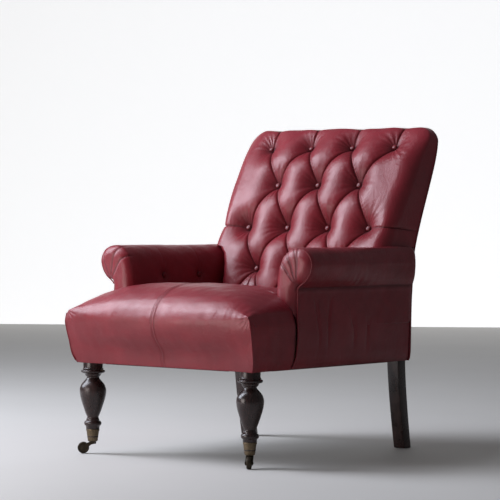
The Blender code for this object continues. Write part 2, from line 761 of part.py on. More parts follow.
def make_arms():
    length = POST_REAR - ARM_FRONT - SKIN
    whole = front_view(outline_solid("arm_whole", arm_outline(), length))
    middle = ARM_FRONT + SKIN + length / 2
    stem_out = BODY_HALF - LEATHER - CLEARANCE - SKIN
    for vert in whole.data.vertices:
        vert.co.y += middle
        if vert.co.x > stem_out:
            share = (vert.co.y - ARM_FRONT) / length
            vert.co.x -= ARM_REAR_TAPER * share * (vert.co.x - stem_out) / (ARM_SPAN / 2 - stem_out)
    bm = bmesh.new()
    bm.from_mesh(whole.data)
    bmesh.ops.recalc_face_normals(bm, faces=bm.faces)
    bm.to_mesh(whole.data)
    bm.free()
    inside_back = cube((0, ARM_NOTCH_Y, 0.1), (BODY_HALF + 0.0025 + SKIN, 2 * REAR, 1.0))
    cut(whole, as_cutter(inside_back, "inside_back_room"))
    buttons = []
    for number, (back, z) in enumerate(ARM_BUTTON_SEATS[:ARM_BUTTONS]):
        place = Vector((INSIDE_WIDTH / 2 + 0.0062, LEG_Y + back, z))
        axis = Vector((-1, 0, 0))
        cut(whole, pocket(place, axis, f"arm_pocket_{number + 1}"))
        buttons.append((number + 1, place, axis))
    whole = settled(whole)
    cover = leather_over(
        whole,
        "arm_cover_right",
        lambda centre, normal: (normal.z < -0.7 and centre.z < ROLL_UNDERSIDE - 0.01)
        or (normal.x > 0.7 and centre.z < ROLL_UNDERSIDE)
        or (normal.y > 0.7 and centre.y > ARM_NOTCH_Y - 0.01)
        or (normal.x < -0.7 and centre.y > ARM_NOTCH_Y),
    )
    pad = evaluated_copy(whole, "arm_pad_right")
    board_low = ARM_BOARD_TOP - ARM_BOARD_THICK - CLEARANCE
    board_in, board_high = ARM_BOARD_IN - CLEARANCE, ARM_BOARD_TOP + CLEARANCE
    under = BODY_HALF + 0.012
    room = [
        (board_in, 0.1), (under, 0.1), (under, board_low),
        (ARM_BOARD_OUT + CLEARANCE, board_low), (ARM_BOARD_OUT + CLEARANCE, board_high), (board_in, board_high),
    ]
    frame_room = front_view(outline_solid("arm_frame_room", room, 2.0))
    frame_room.location.y = ARM_FRONT + 0.015 - CLEARANCE + 1.0
    cut(pad, as_cutter(frame_room, "arm_frame_room"))
    as_part(pad, "arm_pad_right", FOAM)
    mirrored(pad, "arm_pad_left", FOAM)
    mirrored(cover, "arm_cover_left", RED_LEATHER)
    for number, place, axis in buttons:
        button(f"arm_button_right_{number}", place, axis)
        flipped = Vector((-place.x, place.y, place.z))
        button(f"arm_button_left_{number}", flipped, -axis)
    for side, hand in ((-1, "left"), (1, "right")):
        outer, inner = side * BODY_HALF, side * (BODY_HALF - LEATHER)
        box_part(
            f"outside_arm_panel_{hand}",
            (min(outer, inner), ARM_FRONT, SEAT_BASE),
            (max(outer, inner), POST_REAR, ROLL_UNDERSIDE - 2 * SKIN),
            RED_LEATHER,
            bevel=0,
        )


# ---------------------------------------------------------------- front legs and castors
def leg_profile():
    """(radius, z) down the outside of a turned leg, peg first; z is from the floor."""
    top = SEAT_BASE - CLEARANCE
    spigot = CUP_TOP_RADIUS - CUP_WALL - FIT
    tip = CUP_BOTTOM_RADIUS - CUP_WALL - FIT
    height = top - CUP_TOP
    shares = [
        (0.0273, 0.000), (0.0273, 0.080), (0.0292, 0.092), (0.0278, 0.105), (0.0330, 0.120), (0.0335, 0.140),
        (0.0310, 0.155), (0.0235, 0.172), (0.0215, 0.195), (0.0172, 0.222), (0.0215, 0.262), (0.0300, 0.310),
        (0.0355, 0.365), (0.0366, 0.420), (0.0345, 0.500), (0.0295, 0.590), (0.0225, 0.690), (0.0160, 0.775),
        (0.0142, 0.805), (0.0172, 0.845), (0.0178, 0.870), (0.0232, 0.895), (0.0237, 0.925), (0.0185, 0.955),
        (0.0187, 0.995),
    ]
    profile = [(0.0, top + LEG_PEG_LENGTH), (LEG_PEG_RADIUS, top + LEG_PEG_LENGTH), (LEG_PEG_RADIUS, top)]
    profile += [(radius, top - share * height) for radius, share in shares]
    profile += [(spigot, CUP_TOP + 2 * FIT), (tip + 0.0008, CUP_BOTTOM + 0.008), (0.0, CUP_BOTTOM + 0.008)]
    return profile


def castor_frame(side, hand):
    """Empty on the swivel axis, at the floor, turned the way the castor points."""
    empty = bpy.data.objects.new(f"castor_{hand}", None)
    chair.objects.link(empty)
    empty.location = (side * LEG_X, LEG_Y, 0)
    empty.rotation_euler.z = math.radians(CASTOR_TURN[hand])
    bpy.context.view_layer.update()
    return empty


def make_cup(side, hand):
    """Tapered brass socket, closed at the foot but for the swivel pin's bore."""
    bore = SWIVEL_RADIUS + 2 * FIT
    profile = [
        (CUP_TOP_RADIUS - CUP_WALL, CUP_TOP), (CUP_TOP_RADIUS, CUP_TOP), (CUP_TOP_RADIUS, CUP_TOP - 0.004),
        (CUP_TOP_RADIUS - 0.0010, CUP_TOP - 0.005), (CUP_BOTTOM_RADIUS, CUP_BOTTOM + 0.002),
        (CUP_BOTTOM_RADIUS - 0.002, CUP_BOTTOM), (bore, CUP_BOTTOM), (bore, CUP_BOTTOM + 0.004),
        (CUP_BOTTOM_RADIUS - CUP_WALL, CUP_BOTTOM + 0.004), (CUP_TOP_RADIUS - CUP_WALL, CUP_TOP),
    ]
    cup = turned(f"castor_cup_{hand}", profile, LEG_STEPS, BRASS)
    cup.location = (side * LEG_X, LEG_Y, 0)


def make_horn(empty, hand):
    """Cast horn: a swivel pin, a boss, and two cheeks that reach down and forward to the axle."""
    boss_radius = 0.0095
    boss_top = CUP_BOTTOM - 0.0008
    boss_low = boss_top - 0.006
    inside = WHEEL_WIDTH / 2 + CHEEK_GAP
    outside = inside + CHEEK_THICK
    bpy.ops.mesh.primitive_cylinder_add(
        vertices=20, radius=boss_radius, depth=boss_top - boss_low, location=(0, 0, (boss_top + boss_low) / 2)
    )
    boss = bpy.context.object
    pin_top = CUP_BOTTOM + 0.0065
    bpy.ops.mesh.primitive_cylinder_add(
        vertices=20, radius=SWIVEL_RADIUS, depth=pin_top - boss_low, location=(0, 0, (pin_top + boss_low) / 2)
    )
    pin = bpy.context.object
    wheel_y, wheel_z = -CASTOR_TRAIL, WHEEL_RADIUS
    eye = 0.0062
    arm = [(0.0045, boss_top - 0.0004), (0.0070, boss_low + 0.001), (-0.004, boss_low - 0.0025)]
    for k in range(9):
        angle = math.radians(-50 - 27 * k)
        arm.append((wheel_y + eye * math.cos(angle), wheel_z + eye * math.sin(angle)))
    arm.append((-0.0085, boss_top - 0.0004))
    solid = side_view(outline_solid("horn_arm", arm[::-1], 2 * outside))
    solid.data.transform(Matrix.Identity(4))
    bm = bmesh.new()
    bm.from_mesh(solid.data)
    bmesh.ops.recalc_face_normals(bm, faces=bm.faces)
    bm.to_mesh(solid.data)
    bm.free()
    wheel_room = WHEEL_RADIUS + 0.0018
    bpy.ops.mesh.primitive_cylinder_add(
        vertices=28,
        radius=wheel_room,
        depth=2 * inside,
        location=(0, wheel_y, wheel_z),
        rotation=(0, math.pi / 2, 0),
    )
    gap = as_cutter(bpy.context.object, f"wheel_room_{hand}")
    bpy.ops.mesh.primitive_cylinder_add(
        vertices=16,
        radius=(AXLE_RADIUS + FIT) / math.cos(math.pi / 16),
        depth=4 * outside,
        location=(0, wheel_y, wheel_z),
        rotation=(0, math.pi / 2, 0),
    )
    eyes = as_cutter(bpy.context.object, f"axle_room_{hand}")
    for tool in (gap, eyes, boss, pin):
        tool.parent = empty
    cut(solid, as_cutter(boss, f"horn_boss_{hand}"), "UNION")
    cut(solid, as_cutter(pin, f"horn_pin_{hand}"), "UNION")
    cut(solid, gap)
    cut(solid, eyes)
    solid.parent = empty
    as_part(solid, f"castor_horn_{hand}", BRASS)


def make_wheel(empty, hand):
    half = WHEEL_WIDTH / 2
    bore = AXLE_RADIUS + 2 * FIT
    hub = 0.0062
    profile = [
        (bore, half), (hub, half), (hub + 0.0012, half - 0.0014), (WHEEL_RADIUS - 0.0042, half - 0.0014),
        (WHEEL_RADIUS - 0.003, half - 0.0002), (WHEEL_RADIUS - 0.0012, half - 0.0004), (WHEEL_RADIUS, half - 0.002),
        (WHEEL_RADIUS, -half + 0.002), (WHEEL_RADIUS - 0.0012, -half + 0.0004), (WHEEL_RADIUS - 0.003, -half + 0.0002),
        (WHEEL_RADIUS - 0.0042, -half + 0.0014), (hub + 0.0012, -half + 0.0014), (hub, -half), (bore, -half),
        (bore, half),
    ]
    wheel = turned(f"castor_wheel_{hand}", profile, 22, BRASS)
    wheel.parent = empty
    wheel.location = (0, -CASTOR_TRAIL, WHEEL_RADIUS)
    wheel.rotation_euler = (0, math.pi / 2, 0)


def make_axle(empty, hand):
    """Riveted pin: a shank through both cheeks with a low head outside each."""
    outside = WHEEL_WIDTH / 2 + CHEEK_GAP + CHEEK_THICK
    face = outside + FIT
    head = 0.0042
    profile = [
        (0, face + 0.0013), (head * 0.6, face + 0.0012), (head, face + 0.0005), (head, face),
        (AXLE_RADIUS, face), (AXLE_RADIUS, -face), (head, -face), (head, -face - 0.0005),
        (head * 0.6, -face - 0.0012), (0, -face - 0.0013),
    ]
    axle = turned(f"castor_axle_{hand}", profile, 16, BRASS)
    axle.parent = empty
    axle.location = (0, -CASTOR_TRAIL, WHEEL_RADIUS)
    axle.rotation_euler = (0, math.pi / 2, 0)


def make_legs():
    for side, hand in ((-1, "left"), (1, "right")):
        leg = turned(f"front_leg_{hand}", leg_profile(), LEG_STEPS, DARK_WOOD)
        leg.location = (side * LEG_X, LEG_Y, 0)
        make_cup(side, hand)
        empty = castor_frame(side, hand)
        make_horn(empty, hand)
        make_wheel(empty, hand)
        make_axle(empty, hand)


make_posts()
make_frame()
make_springs()
make_cloths()
make_webbing()
make_seat()
make_back()
make_outside_back()
make_arms()
make_legs()
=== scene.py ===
"""Buttoned leather armchair: its leather, padding, legs, castors and studio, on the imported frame."""

import json
import math

import bpy
import numpy as np
from bpy.props import FloatProperty, FloatVectorProperty, IntProperty, PointerProperty
from mathutils import Matrix, Vector


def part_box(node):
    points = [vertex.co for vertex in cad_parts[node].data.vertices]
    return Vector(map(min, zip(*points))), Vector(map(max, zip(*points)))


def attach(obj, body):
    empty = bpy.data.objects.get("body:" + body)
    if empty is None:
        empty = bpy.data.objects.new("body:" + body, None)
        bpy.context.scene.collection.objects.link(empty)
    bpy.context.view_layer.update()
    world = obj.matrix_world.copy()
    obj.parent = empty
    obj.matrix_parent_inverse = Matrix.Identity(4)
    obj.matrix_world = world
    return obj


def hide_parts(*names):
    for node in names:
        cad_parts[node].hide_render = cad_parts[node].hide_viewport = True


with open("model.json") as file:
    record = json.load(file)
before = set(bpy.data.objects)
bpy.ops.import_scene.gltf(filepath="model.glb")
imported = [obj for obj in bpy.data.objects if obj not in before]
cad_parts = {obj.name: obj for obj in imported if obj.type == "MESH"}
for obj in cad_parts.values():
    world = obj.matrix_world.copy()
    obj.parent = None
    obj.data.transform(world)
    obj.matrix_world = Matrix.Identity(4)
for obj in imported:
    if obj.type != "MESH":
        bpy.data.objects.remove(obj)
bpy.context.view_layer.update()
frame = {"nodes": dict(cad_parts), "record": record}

bl_info = {
    "name": "Buttoned Leather Armchair",
    "version": (1, 0, 0),
    "blender": (4, 5, 0),
    "location": "View3D > Sidebar > Armchair",
    "description": "Builds a deep-buttoned leather armchair piece by piece",
    "category": "Object",
}

SEAT_LOW, SEAT_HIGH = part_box("seat_cover")
ARM_LOW, ARM_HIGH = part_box("arm_cover_right")
PANEL_LOW, PANEL_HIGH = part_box("outside_arm_panel_right")
LEG_LOW, LEG_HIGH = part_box("front_leg_right")
CUP_LOW, CUP_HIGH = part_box("castor_cup_right")

BASE_Z = PANEL_LOW[2]  # underside of the upholstered body
BODY_HALF = PANEL_HIGH[0]
FRONT = SEAT_LOW[1]
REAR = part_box("outside_back_panel")[1][1]
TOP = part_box("inside_back_cover")[1][2]
LEG_X = (LEG_LOW[0] + LEG_HIGH[0]) / 2
LEG_Y = (LEG_LOW[1] + LEG_HIGH[1]) / 2
ARM_TOP = ARM_HIGH[2]
ARM_FRONT = ARM_LOW[1]
INSIDE_HALF = ARM_LOW[0]
SIDES = ((-1, "left"), (1, "right"))
HIDE = "Oxblood leather"


# ---------------------------------------------------------------- sizes and colours a user may change
class ArmchairSizes(bpy.types.PropertyGroup):
    button_depth: FloatProperty(
        name="Button depth", description="How much further than its well each button is pulled", default=0.008,
        min=0.0, max=0.01, unit="LENGTH",
    )
    fold_depth: FloatProperty(
        name="Fold depth", description="Depth of the folds half way between two buttons", default=0.0135,
        min=0.0, max=0.03, unit="LENGTH",
    )
    fold_reach: FloatProperty(
        name="Fold reach", description="How far to each side a fold draws the leather down", default=0.044,
        min=0.005, max=0.08, unit="LENGTH",
    )
    well_reach: FloatProperty(
        name="Well reach", description="Radius of the hollow round each button", default=0.080,
        min=0.02, max=0.1, unit="LENGTH",
    )
    back_rounding: FloatProperty(
        name="Back rounding", description="Radius of the back's front edges and top corners", default=0.046,
        min=0.01, max=0.06, unit="LENGTH",
    )
    seat_roll: FloatProperty(
        name="Seat roll", description="How far behind its front the seat reaches its full height", default=0.160,
        min=0.05, max=0.25, unit="LENGTH",
    )
    piping: FloatProperty(
        name="Piping", description="Radius of the leather-covered cord along the seams", default=0.0023,
        min=0.001, max=0.005, unit="LENGTH",
    )
    lathe_steps: IntProperty(
        name="Lathe steps", description="Facets round each turned piece", default=72, min=16, max=128,
    )


class ArmchairColours(bpy.types.PropertyGroup):
    leather: FloatVectorProperty(
        name="Leather", description="Main colour of the hide", subtype="COLOR", size=3, default=(0.205, 0.0110, 0.0195),
        min=0.0, max=1.0,
    )
    # painted shade: the darker colour mixed into the hide along its folds, round its buttons and along its seams; the
    # seam thread also takes it for its darker strands
    leather_shade: FloatVectorProperty(
        name="Leather, painted shade", description="Colour of the hide in its folds and shaded patches", subtype="COLOR",
        size=3, default=(0.070, 0.007, 0.010), min=0.0, max=1.0,
    )
    leather_rubbed: FloatVectorProperty(
        name="Leather, rubbed", description="Colour of the hide where it is stretched and rubbed", subtype="COLOR",
        size=3, default=(0.29, 0.036, 0.050), min=0.0, max=1.0,
    )
    wood: FloatVectorProperty(
        name="Leg wood", description="Stained and polished legs", subtype="COLOR", size=3,
        default=(0.021, 0.0098, 0.0088), min=0.0, max=1.0,
    )
    brass: FloatVectorProperty(
        name="Castor brass", description="Aged metal of the castors", subtype="COLOR", size=3,
        default=(0.17, 0.125, 0.075), min=0.0, max=1.0,
    )


def sizes():
    return bpy.context.scene.armchair_sizes


def colours():
    return bpy.context.scene.armchair_colours


# ---------------------------------------------------------------- materials
class Tone:
    """A number that varies over a surface; arithmetic on it adds Math nodes to its material."""

    def __init__(self, finish, socket):
        self.finish = finish
        self.socket = socket

    def _math(self, operation, *values):
        node = self.finish.node("ShaderNodeMath", {"operation": operation}, dict(enumerate(values)))
        return Tone(self.finish, node.outputs[0])

    def __add__(self, other):
        return self._math("ADD", self, other)

    __radd__ = __add__

    def __sub__(self, other):
        return self._math("SUBTRACT", self, other)

    def __rsub__(self, other):
        return self._math("SUBTRACT", other, self)

    def __mul__(self, other):
        return self._math("MULTIPLY", self, other)

    __rmul__ = __mul__

    def clamp(self):
        return self._math("MINIMUM", self._math("MAXIMUM", self, 0.0), 1.0)


class Finish:
    """One material, with its shader and the nodes that feed it."""

    def __init__(self, name):
        self.material = bpy.data.materials.new(name)
        self.material.use_nodes = True
        self.tree = self.material.node_tree
        self.shader = self.tree.nodes["Principled BSDF"]
        self.place = self.node("ShaderNodeTexCoord", {}, {}).outputs["Object"]

    def node(self, kind, settings, values):
        """Adds a node, sets it up, then gives its sockets their values or links."""
        node = self.tree.nodes.new(kind)
        for key, value in settings.items():
            setattr(node, key, value)
        for key, value in values.items():
            self.give(node.inputs[key], value)
        return node

    def give(self, socket, value):
        if isinstance(value, Tone):
            value = value.socket
        if isinstance(value, bpy.types.NodeSocket):
            self.tree.links.new(value, socket)
        elif socket.type == "RGBA" and len(value) == 3:
            socket.default_value = (*value, 1.0)
        else:
            socket.default_value = value

    def noise(self, scale, detail=3.0, roughness=0.5, stretch=(1, 1, 1), distortion=0.0):
        place = self.place
        if stretch != (1, 1, 1):
            place = self.node("ShaderNodeMapping", {}, {"Vector": place, "Scale": stretch}).outputs[0]
        values = {"Vector": place, "Scale": scale, "Detail": detail, "Roughness": roughness, "Distortion": distortion}
        return Tone(self, self.node("ShaderNodeTexNoise", {}, values).outputs["Fac"])

    def cells(self, scale, feature="F1"):
        node = self.node("ShaderNodeTexVoronoi", {"feature": feature}, {"Vector": self.place, "Scale": scale})
        return Tone(self, node.outputs["Distance"])

    def wave(self, scale, direction="X", distortion=0.0, detail=2.0):
        settings = {"wave_type": "BANDS", "bands_direction": direction}
        values = {"Vector": self.place, "Scale": scale, "Distortion": distortion, "Detail": detail}
        return Tone(self, self.node("ShaderNodeTexWave", settings, values).outputs["Fac"])

    def trace(self, name):
        """A number stored on the piece's own points."""
        return Tone(self, self.node("ShaderNodeAttribute", {"attribute_name": name}, {}).outputs["Fac"])

    def spread(self, tone, low, high):
        """Stretches a tone so that low becomes 0 and high becomes 1, and holds it there."""
        node = self.node("ShaderNodeMapRange", {"clamp": True}, {"Value": tone, "From Min": low, "From Max": high})
        return Tone(self, node.outputs["Result"])

    def mix(self, share, first, second):
        node = self.node("ShaderNodeMix", {"data_type": "RGBA"}, {0: share, 6: first, 7: second})
        return node.outputs[2]

    def bump(self, tone, distance, strength=1.0, under=None):
        values = {"Height": tone, "Distance": distance, "Strength": strength}
        if under is not None:
            values["Normal"] = under
        return self.node("ShaderNodeBump", {}, values).outputs[0]

    def surface(self, **sockets):
        for name, value in sockets.items():
            self.give(self.shader.inputs[name.replace("_", " ")], value)
        return self.material


def shaded(colour, factor):
    return tuple(min(1.0, c * factor) for c in colour)


def make_leather(name, depth=1.0):
    """Finished hide: mottled colour, pebble grain, fine creases, painted shade in its folds, wells and seams, and
    rubbed crowns; a depth below 1 darkens it all as painted shade.
    """
    finish = Finish(name)
    main, dark, rubbed = colours().leather, colours().leather_shade, colours().leather_rubbed
    mottle = finish.spread(finish.noise(7.0, 4.0, 0.6), 0.33, 0.68)
    patches = finish.spread(finish.noise(26.0, 3.0, 0.65), 0.35, 0.70)
    fold = finish.trace("fold")
    worn = finish.trace("worn")
    # depth below 1 darkens the whole hide: painted shade for the buttons sunk in their wells
    colour = finish.mix(mottle, shaded(main, 0.80 * depth), shaded(main, 1.12 * depth))
    colour = finish.mix(patches * 0.30, colour, shaded(main, 0.72 * depth))
    rub = (worn * (0.35 + finish.noise(60.0, 4.0) * 0.5)).clamp()
    colour = finish.mix(rub, colour, rubbed)
    # painted shade: the hide turns dark where the fold trace marks creases, wells, puckers and seam grooves
    colour = finish.mix((fold * 0.92).clamp(), colour, dark)
    pebble = finish.cells(620.0)
    cracks = finish.cells(240.0, "DISTANCE_TO_EDGE")
    wrinkle = finish.noise(48.0, 5.0, 0.6, stretch=(1.0, 1.0, 0.55), distortion=1.2)
    soft = finish.bump(wrinkle, 0.0042, 0.22)
    grain = finish.bump(finish.spread(cracks, 0.0, 0.12) + pebble * 0.6, 0.00022, 0.5, soft)
    rough = 0.32 + patches * 0.10 + fold * 0.35 - rub * 0.03
    return finish.surface(
        Base_Color=colour, Roughness=rough, Normal=grain, Specular_IOR_Level=0.42,
        Coat_Weight=0.05, Coat_Roughness=0.2,
    )


def make_leg_wood(name):
    """Dark stain under a worn polish: fine streaks of grain along the leg, paler in patches."""
    finish = Finish(name)
    wood = colours().wood
    streaks = finish.noise(30.0, 6.0, 0.65, stretch=(6.0, 6.0, 0.5), distortion=0.6)
    patches = finish.noise(16.0, 4.0, 0.6)
    colour = finish.mix(finish.spread(streaks, 0.35, 0.70), shaded(wood, 0.55), shaded(wood, 1.7))
    colour = finish.mix(finish.spread(patches, 0.52, 0.74) * 0.55, colour, shaded(wood, 3.2))
    pores = finish.bump(streaks, 0.0004, 0.35)
    rough = 0.22 + finish.spread(patches, 0.4, 0.75) * 0.22
    return finish.surface(
        Base_Color=colour, Roughness=rough, Normal=pores, Specular_IOR_Level=0.40,
        Coat_Weight=0.12, Coat_Roughness=0.12,
    )


def make_brass(name, dark=1.0):
    """Aged brass: brown tarnish in patches over dull metal, with fine turning marks."""
    finish = Finish(name)
    brass = shaded(colours().brass, dark)
    tarnish = finish.spread(finish.noise(260.0, 5.0, 0.7), 0.30, 0.72)
    scratches = finish.noise(420.0, 3.0, 0.6, stretch=(1.0, 1.0, 6.0))
    colour = finish.mix(tarnish, shaded(brass, 1.15), shaded(brass, 0.42))
    rough = 0.32 + tarnish * 0.28 + scratches * 0.08
    return finish.surface(
        Base_Color=colour, Metallic=0.92 - tarnish * 0.45, Roughness=rough, Normal=finish.bump(scratches, 0.0002, 0.35),
    )


def make_beech(name):
    """Planed, unfinished frame timber."""
    finish = Finish(name)
    grain = finish.noise(22.0, 6.0, 0.6, stretch=(1.0, 1.0, 9.0), distortion=0.8)
    flecks = finish.spread(finish.noise(240.0, 2.0, 0.5, stretch=(1.0, 1.0, 4.0)), 0.60, 0.70)
    colour = finish.mix(grain, (0.52, 0.34, 0.19), (0.66, 0.47, 0.29))
    colour = finish.mix(flecks * 0.6, colour, (0.36, 0.21, 0.11))
    return finish.surface(Base_Color=colour, Roughness=0.55 + grain * 0.15, Normal=finish.bump(grain, 0.0004, 0.4))


def make_cloth(name, thread, gap, threads_per_metre):
    """Plain woven cloth."""
    finish = Finish(name)
    across = finish.wave(threads_per_metre / 6.28, "X", 0.4)
    along = finish.wave(threads_per_metre / 6.28, "Y", 0.4)
    weave = across * 0.5 + along * 0.5
    slubs = finish.noise(90.0, 4.0, 0.7)
    colour = finish.mix((weave * (0.7 + slubs * 0.6)).clamp(), gap, thread)
    return finish.surface(Base_Color=colour, Roughness=0.92, Normal=finish.bump(weave, 0.0005, 0.6))


def make_foam(name):
    finish = Finish(name)
    cells = finish.cells(700.0)
    stain = finish.noise(10.0, 3.0)
    colour = finish.mix(stain, (0.60, 0.52, 0.33), (0.76, 0.70, 0.52))
    return finish.surface(Base_Color=colour, Roughness=0.95, Normal=finish.bump(cells, 0.0006, 0.6))


def make_steel(name):
    finish = Finish(name)
    bloom = finish.noise(160.0, 4.0, 0.6)
    colour = finish.mix(bloom, (0.20, 0.18, 0.17), (0.46, 0.46, 0.47))
    return finish.surface(Base_Color=colour, Metallic=0.9, Roughness=0.28 + bloom * 0.25)


def make_thread(name):
    finish = Finish(name)
    twist = finish.wave(260.0, "DIAGONAL", 0.2)
    colour = finish.mix(twist, shaded(colours().leather_shade, 0.9), shaded(colours().leather, 1.2))
    return finish.surface(Base_Color=colour, Roughness=0.55, Normal=finish.bump(twist, 0.0002, 0.5))


def make_backdrop(name):
    finish = Finish(name)
    wash = finish.noise(0.8, 2.0, 0.5)
    colour = finish.mix(wash, (0.92, 0.92, 0.92), (0.96, 0.96, 0.96))
    return finish.surface(Base_Color=colour, Roughness=0.9, Emission_Color=colour, Emission_Strength=0.75)


def make_floor(name):
    finish = Finish(name)
    wash = finish.noise(1.6, 3.0, 0.5)
    colour = finish.mix(wash, (0.53, 0.515, 0.49), (0.57, 0.555, 0.53))
    return finish.surface(Base_Color=colour, Roughness=0.75)


MAKERS = {
    HIDE: (make_leather,),
    # a darker copy of the hide: painted shade for buttons sunk in their wells
    "Oxblood leather, shaded buttons": (make_leather, 0.70),
    "Leg wood": (make_leg_wood,),
    "Castor brass": (make_brass,),
    "Castor brass, blackened": (make_brass, 0.24),
    "Frame beech": (make_beech,),
    "Jute": (make_cloth, (0.44, 0.32, 0.19), (0.14, 0.09, 0.05), 900.0),
    "Black cambric": (make_cloth, (0.024, 0.024, 0.026), (0.006, 0.006, 0.007), 1600.0),
    "Padding": (make_foam,),
    "Spring steel": (make_steel,),
    "Seam thread": (make_thread,),
    "Studio floor": (make_floor,),
    "Studio backdrop": (make_backdrop,),
}


def material(name):
    """The named finish, made the first time it is asked for."""
    found = bpy.data.materials.get(name)
    if found:
        return found
    make, *options = MAKERS[name]
    return make(name, *options)


# ---------------------------------------------------------------- making pieces
def deselect():
    if bpy.context.object and bpy.context.object.mode == "EDIT":
        bpy.ops.object.mode_set(mode="OBJECT")
    bpy.ops.object.select_all(action="DESELECT")


def only(obj):
    deselect()
    obj.select_set(True)
    bpy.context.view_layer.objects.active = obj


def keep(obj, name, finish, slot, body, *nodes):
    """Names a finished piece, gives it its material and body, and hides the CAD nodes it stands for."""
    only(obj)
    bpy.ops.object.transform_apply(location=True, rotation=True, scale=True)
    obj.name = obj.data.name = name
    obj.data.materials.clear()
    obj.data.materials.append(material(finish))
    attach(obj, body)
    if nodes:
        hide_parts(*nodes)


def keep_hide(obj, name, *nodes):
    keep(obj, name, HIDE, "red_leather", "chair", *nodes)


def face_outward(obj):
    only(obj)
    bpy.ops.object.mode_set(mode="EDIT")
    bpy.ops.mesh.select_all(action="SELECT")
    bpy.ops.mesh.normals_make_consistent(inside=False)
    bpy.ops.object.mode_set(mode="OBJECT")


def smooth(obj, degrees):
    only(obj)
    bpy.ops.object.shade_smooth_by_angle(angle=math.radians(degrees))


def apply_modifier(obj, kind, **settings):
    only(obj)
    modifier = obj.modifiers.new(kind.title(), kind)
    for key, value in settings.items():
        setattr(modifier, key, value)
    bpy.ops.object.modifier_apply(modifier=modifier.name)


def mesh_object(name, points, faces, **traces):
    """A mesh from arrays. Traces are numbers stored on its points for the material; points past a trace's end get 0."""
    mesh = bpy.data.meshes.new(name)
    mesh.from_pydata(points.tolist(), [], faces)
    for label, values in traces.items():
        stored = np.zeros(len(points), np.float32)
        stored[: len(values)] = values
        mesh.attributes.new(label, "FLOAT", "POINT").data.foreach_set("value", stored)
    obj = bpy.data.objects.new(name, mesh)
    bpy.context.scene.collection.objects.link(obj)
    mesh.polygons.foreach_set("use_smooth", [True] * len(mesh.polygons))
    return obj


def block_net(across, deep, high, open_side=None):
    """Surface lattice of a box: shares (0 to 1) of each corner and outward quads. An open side is left out."""
    counts = (across, deep, high)
    quads = []
    for axis in range(3):
        u, v = (axis + 1) % 3, (axis + 2) % 3
        first, second = np.meshgrid(np.arange(counts[u]), np.arange(counts[v]), indexing="ij")
        for side in (0, counts[axis]):
            if open_side == (axis, side > 0):
                continue
            corners = []
            for du, dv in ((0, 0), (1, 0), (1, 1), (0, 1)):
                place = np.zeros((*first.shape, 3), int)
                place[..., axis] = side
                place[..., u] = first + du
                place[..., v] = second + dv
                corners.append(place.reshape(-1, 3))
            quad = np.stack(corners, 1)
            quads.append(quad[:, ::-1] if side == 0 else quad)
    places, index = np.unique(np.concatenate(quads).reshape(-1, 3), axis=0, return_inverse=True)
    return places / np.array(counts), index.reshape(-1, 4)


def close_open_side(points, quads, sink=(0, 0, 0)):
    """A fan of triangles over the one hole that a net has, its middle moved by sink; returns points and faces."""
    faces = quads.tolist()
    onward = {}
    known = set()
    for face in faces:
        for i, j in zip(face, face[1:] + face[:1]):
            known.add((i, j))
    for i, j in known:
        if (j, i) not in known:
            onward[j] = i
    if not onward:
        return points, faces
    start = next(iter(onward))
    loop = [start]
    while onward[loop[-1]] != start:
        loop.append(onward[loop[-1]])
    centre = len(points)
    points = np.vstack([points, points[loop].mean(0) + np.array(sink)])
    faces += [[loop[k], loop[(k + 1) % len(loop)], centre] for k in range(len(loop))]
    return points, faces


def outward(points, quads):
    """Unit normal at each point of a net of quads."""
    corner = points[quads]
    flat = np.cross(corner[:, 2] - corner[:, 0], corner[:, 3] - corner[:, 1])
    total = np.zeros_like(points)
    for k in range(4):
        np.add.at(total, quads[:, k], flat)
    return total / np.maximum(np.linalg.norm(total, axis=1, keepdims=True), 1e-12)


def relax(points, quads, held, rounds):
    """Draws each point part way to the middle of its neighbours, so that sharp edges soften; held ones stay."""
    for _ in range(rounds):
        pulled = np.zeros_like(points)
        count = np.zeros(len(points))
        for i, j in ((0, 1), (1, 2), (2, 3), (3, 0)):
            for here, there in ((i, j), (j, i)):
                np.add.at(pulled, quads[:, here], points[quads[:, there]])
                np.add.at(count, quads[:, here], 1)
        pulled /= count[:, None]
        points = np.where(held[:, None], points, points * 0.5 + pulled * 0.5)
    return points


def ease(t):
    t = np.clip(t, 0.0, 1.0)
    return t * t * (3 - 2 * t)


def bell(x, width):
    """1 where x is 0, falling to nothing over about two widths."""
    return np.exp(-((x / width) ** 2))


def profile(z, pairs):
    """Smooth curve through (height, value) pairs."""
    heights, values = np.array(pairs, float).T
    slopes = np.gradient(values, heights)
    z = np.clip(z, heights[0], heights[-1])
    i = np.clip(np.searchsorted(heights, z, side="right") - 1, 0, len(heights) - 2)
    span = heights[i + 1] - heights[i]
    t = (z - heights[i]) / span
    return (
        values[i] * (2 * t**3 - 3 * t**2 + 1)
        + slopes[i] * span * (t**3 - 2 * t**2 + t)
        + values[i + 1] * (3 * t**2 - 2 * t**3)
        + slopes[i + 1] * span * (t**3 - t**2)
    )


def drift(points, wavelength, seed):
    """Smooth wandering value, about -1 to 1, made of a few slanted waves."""
    rng = np.random.default_rng(seed)
    total = np.zeros(len(points))
    for _ in range(7):
        heading = rng.normal(size=3)
        heading /= np.linalg.norm(heading)
        total += np.sin(points @ heading * (2 * math.pi / (wavelength * rng.uniform(0.6, 1.7))) + rng.uniform(0, 6.28))
    return total / 3.2


def dome(x):
    """Quarter-round fall: 1 in the valley, 0 from a distance of 1 on, steepest in the valley."""
    x = np.clip(x, 0.0, 1.0)
    return 1 - np.sqrt(1 - (1 - x) ** 2)


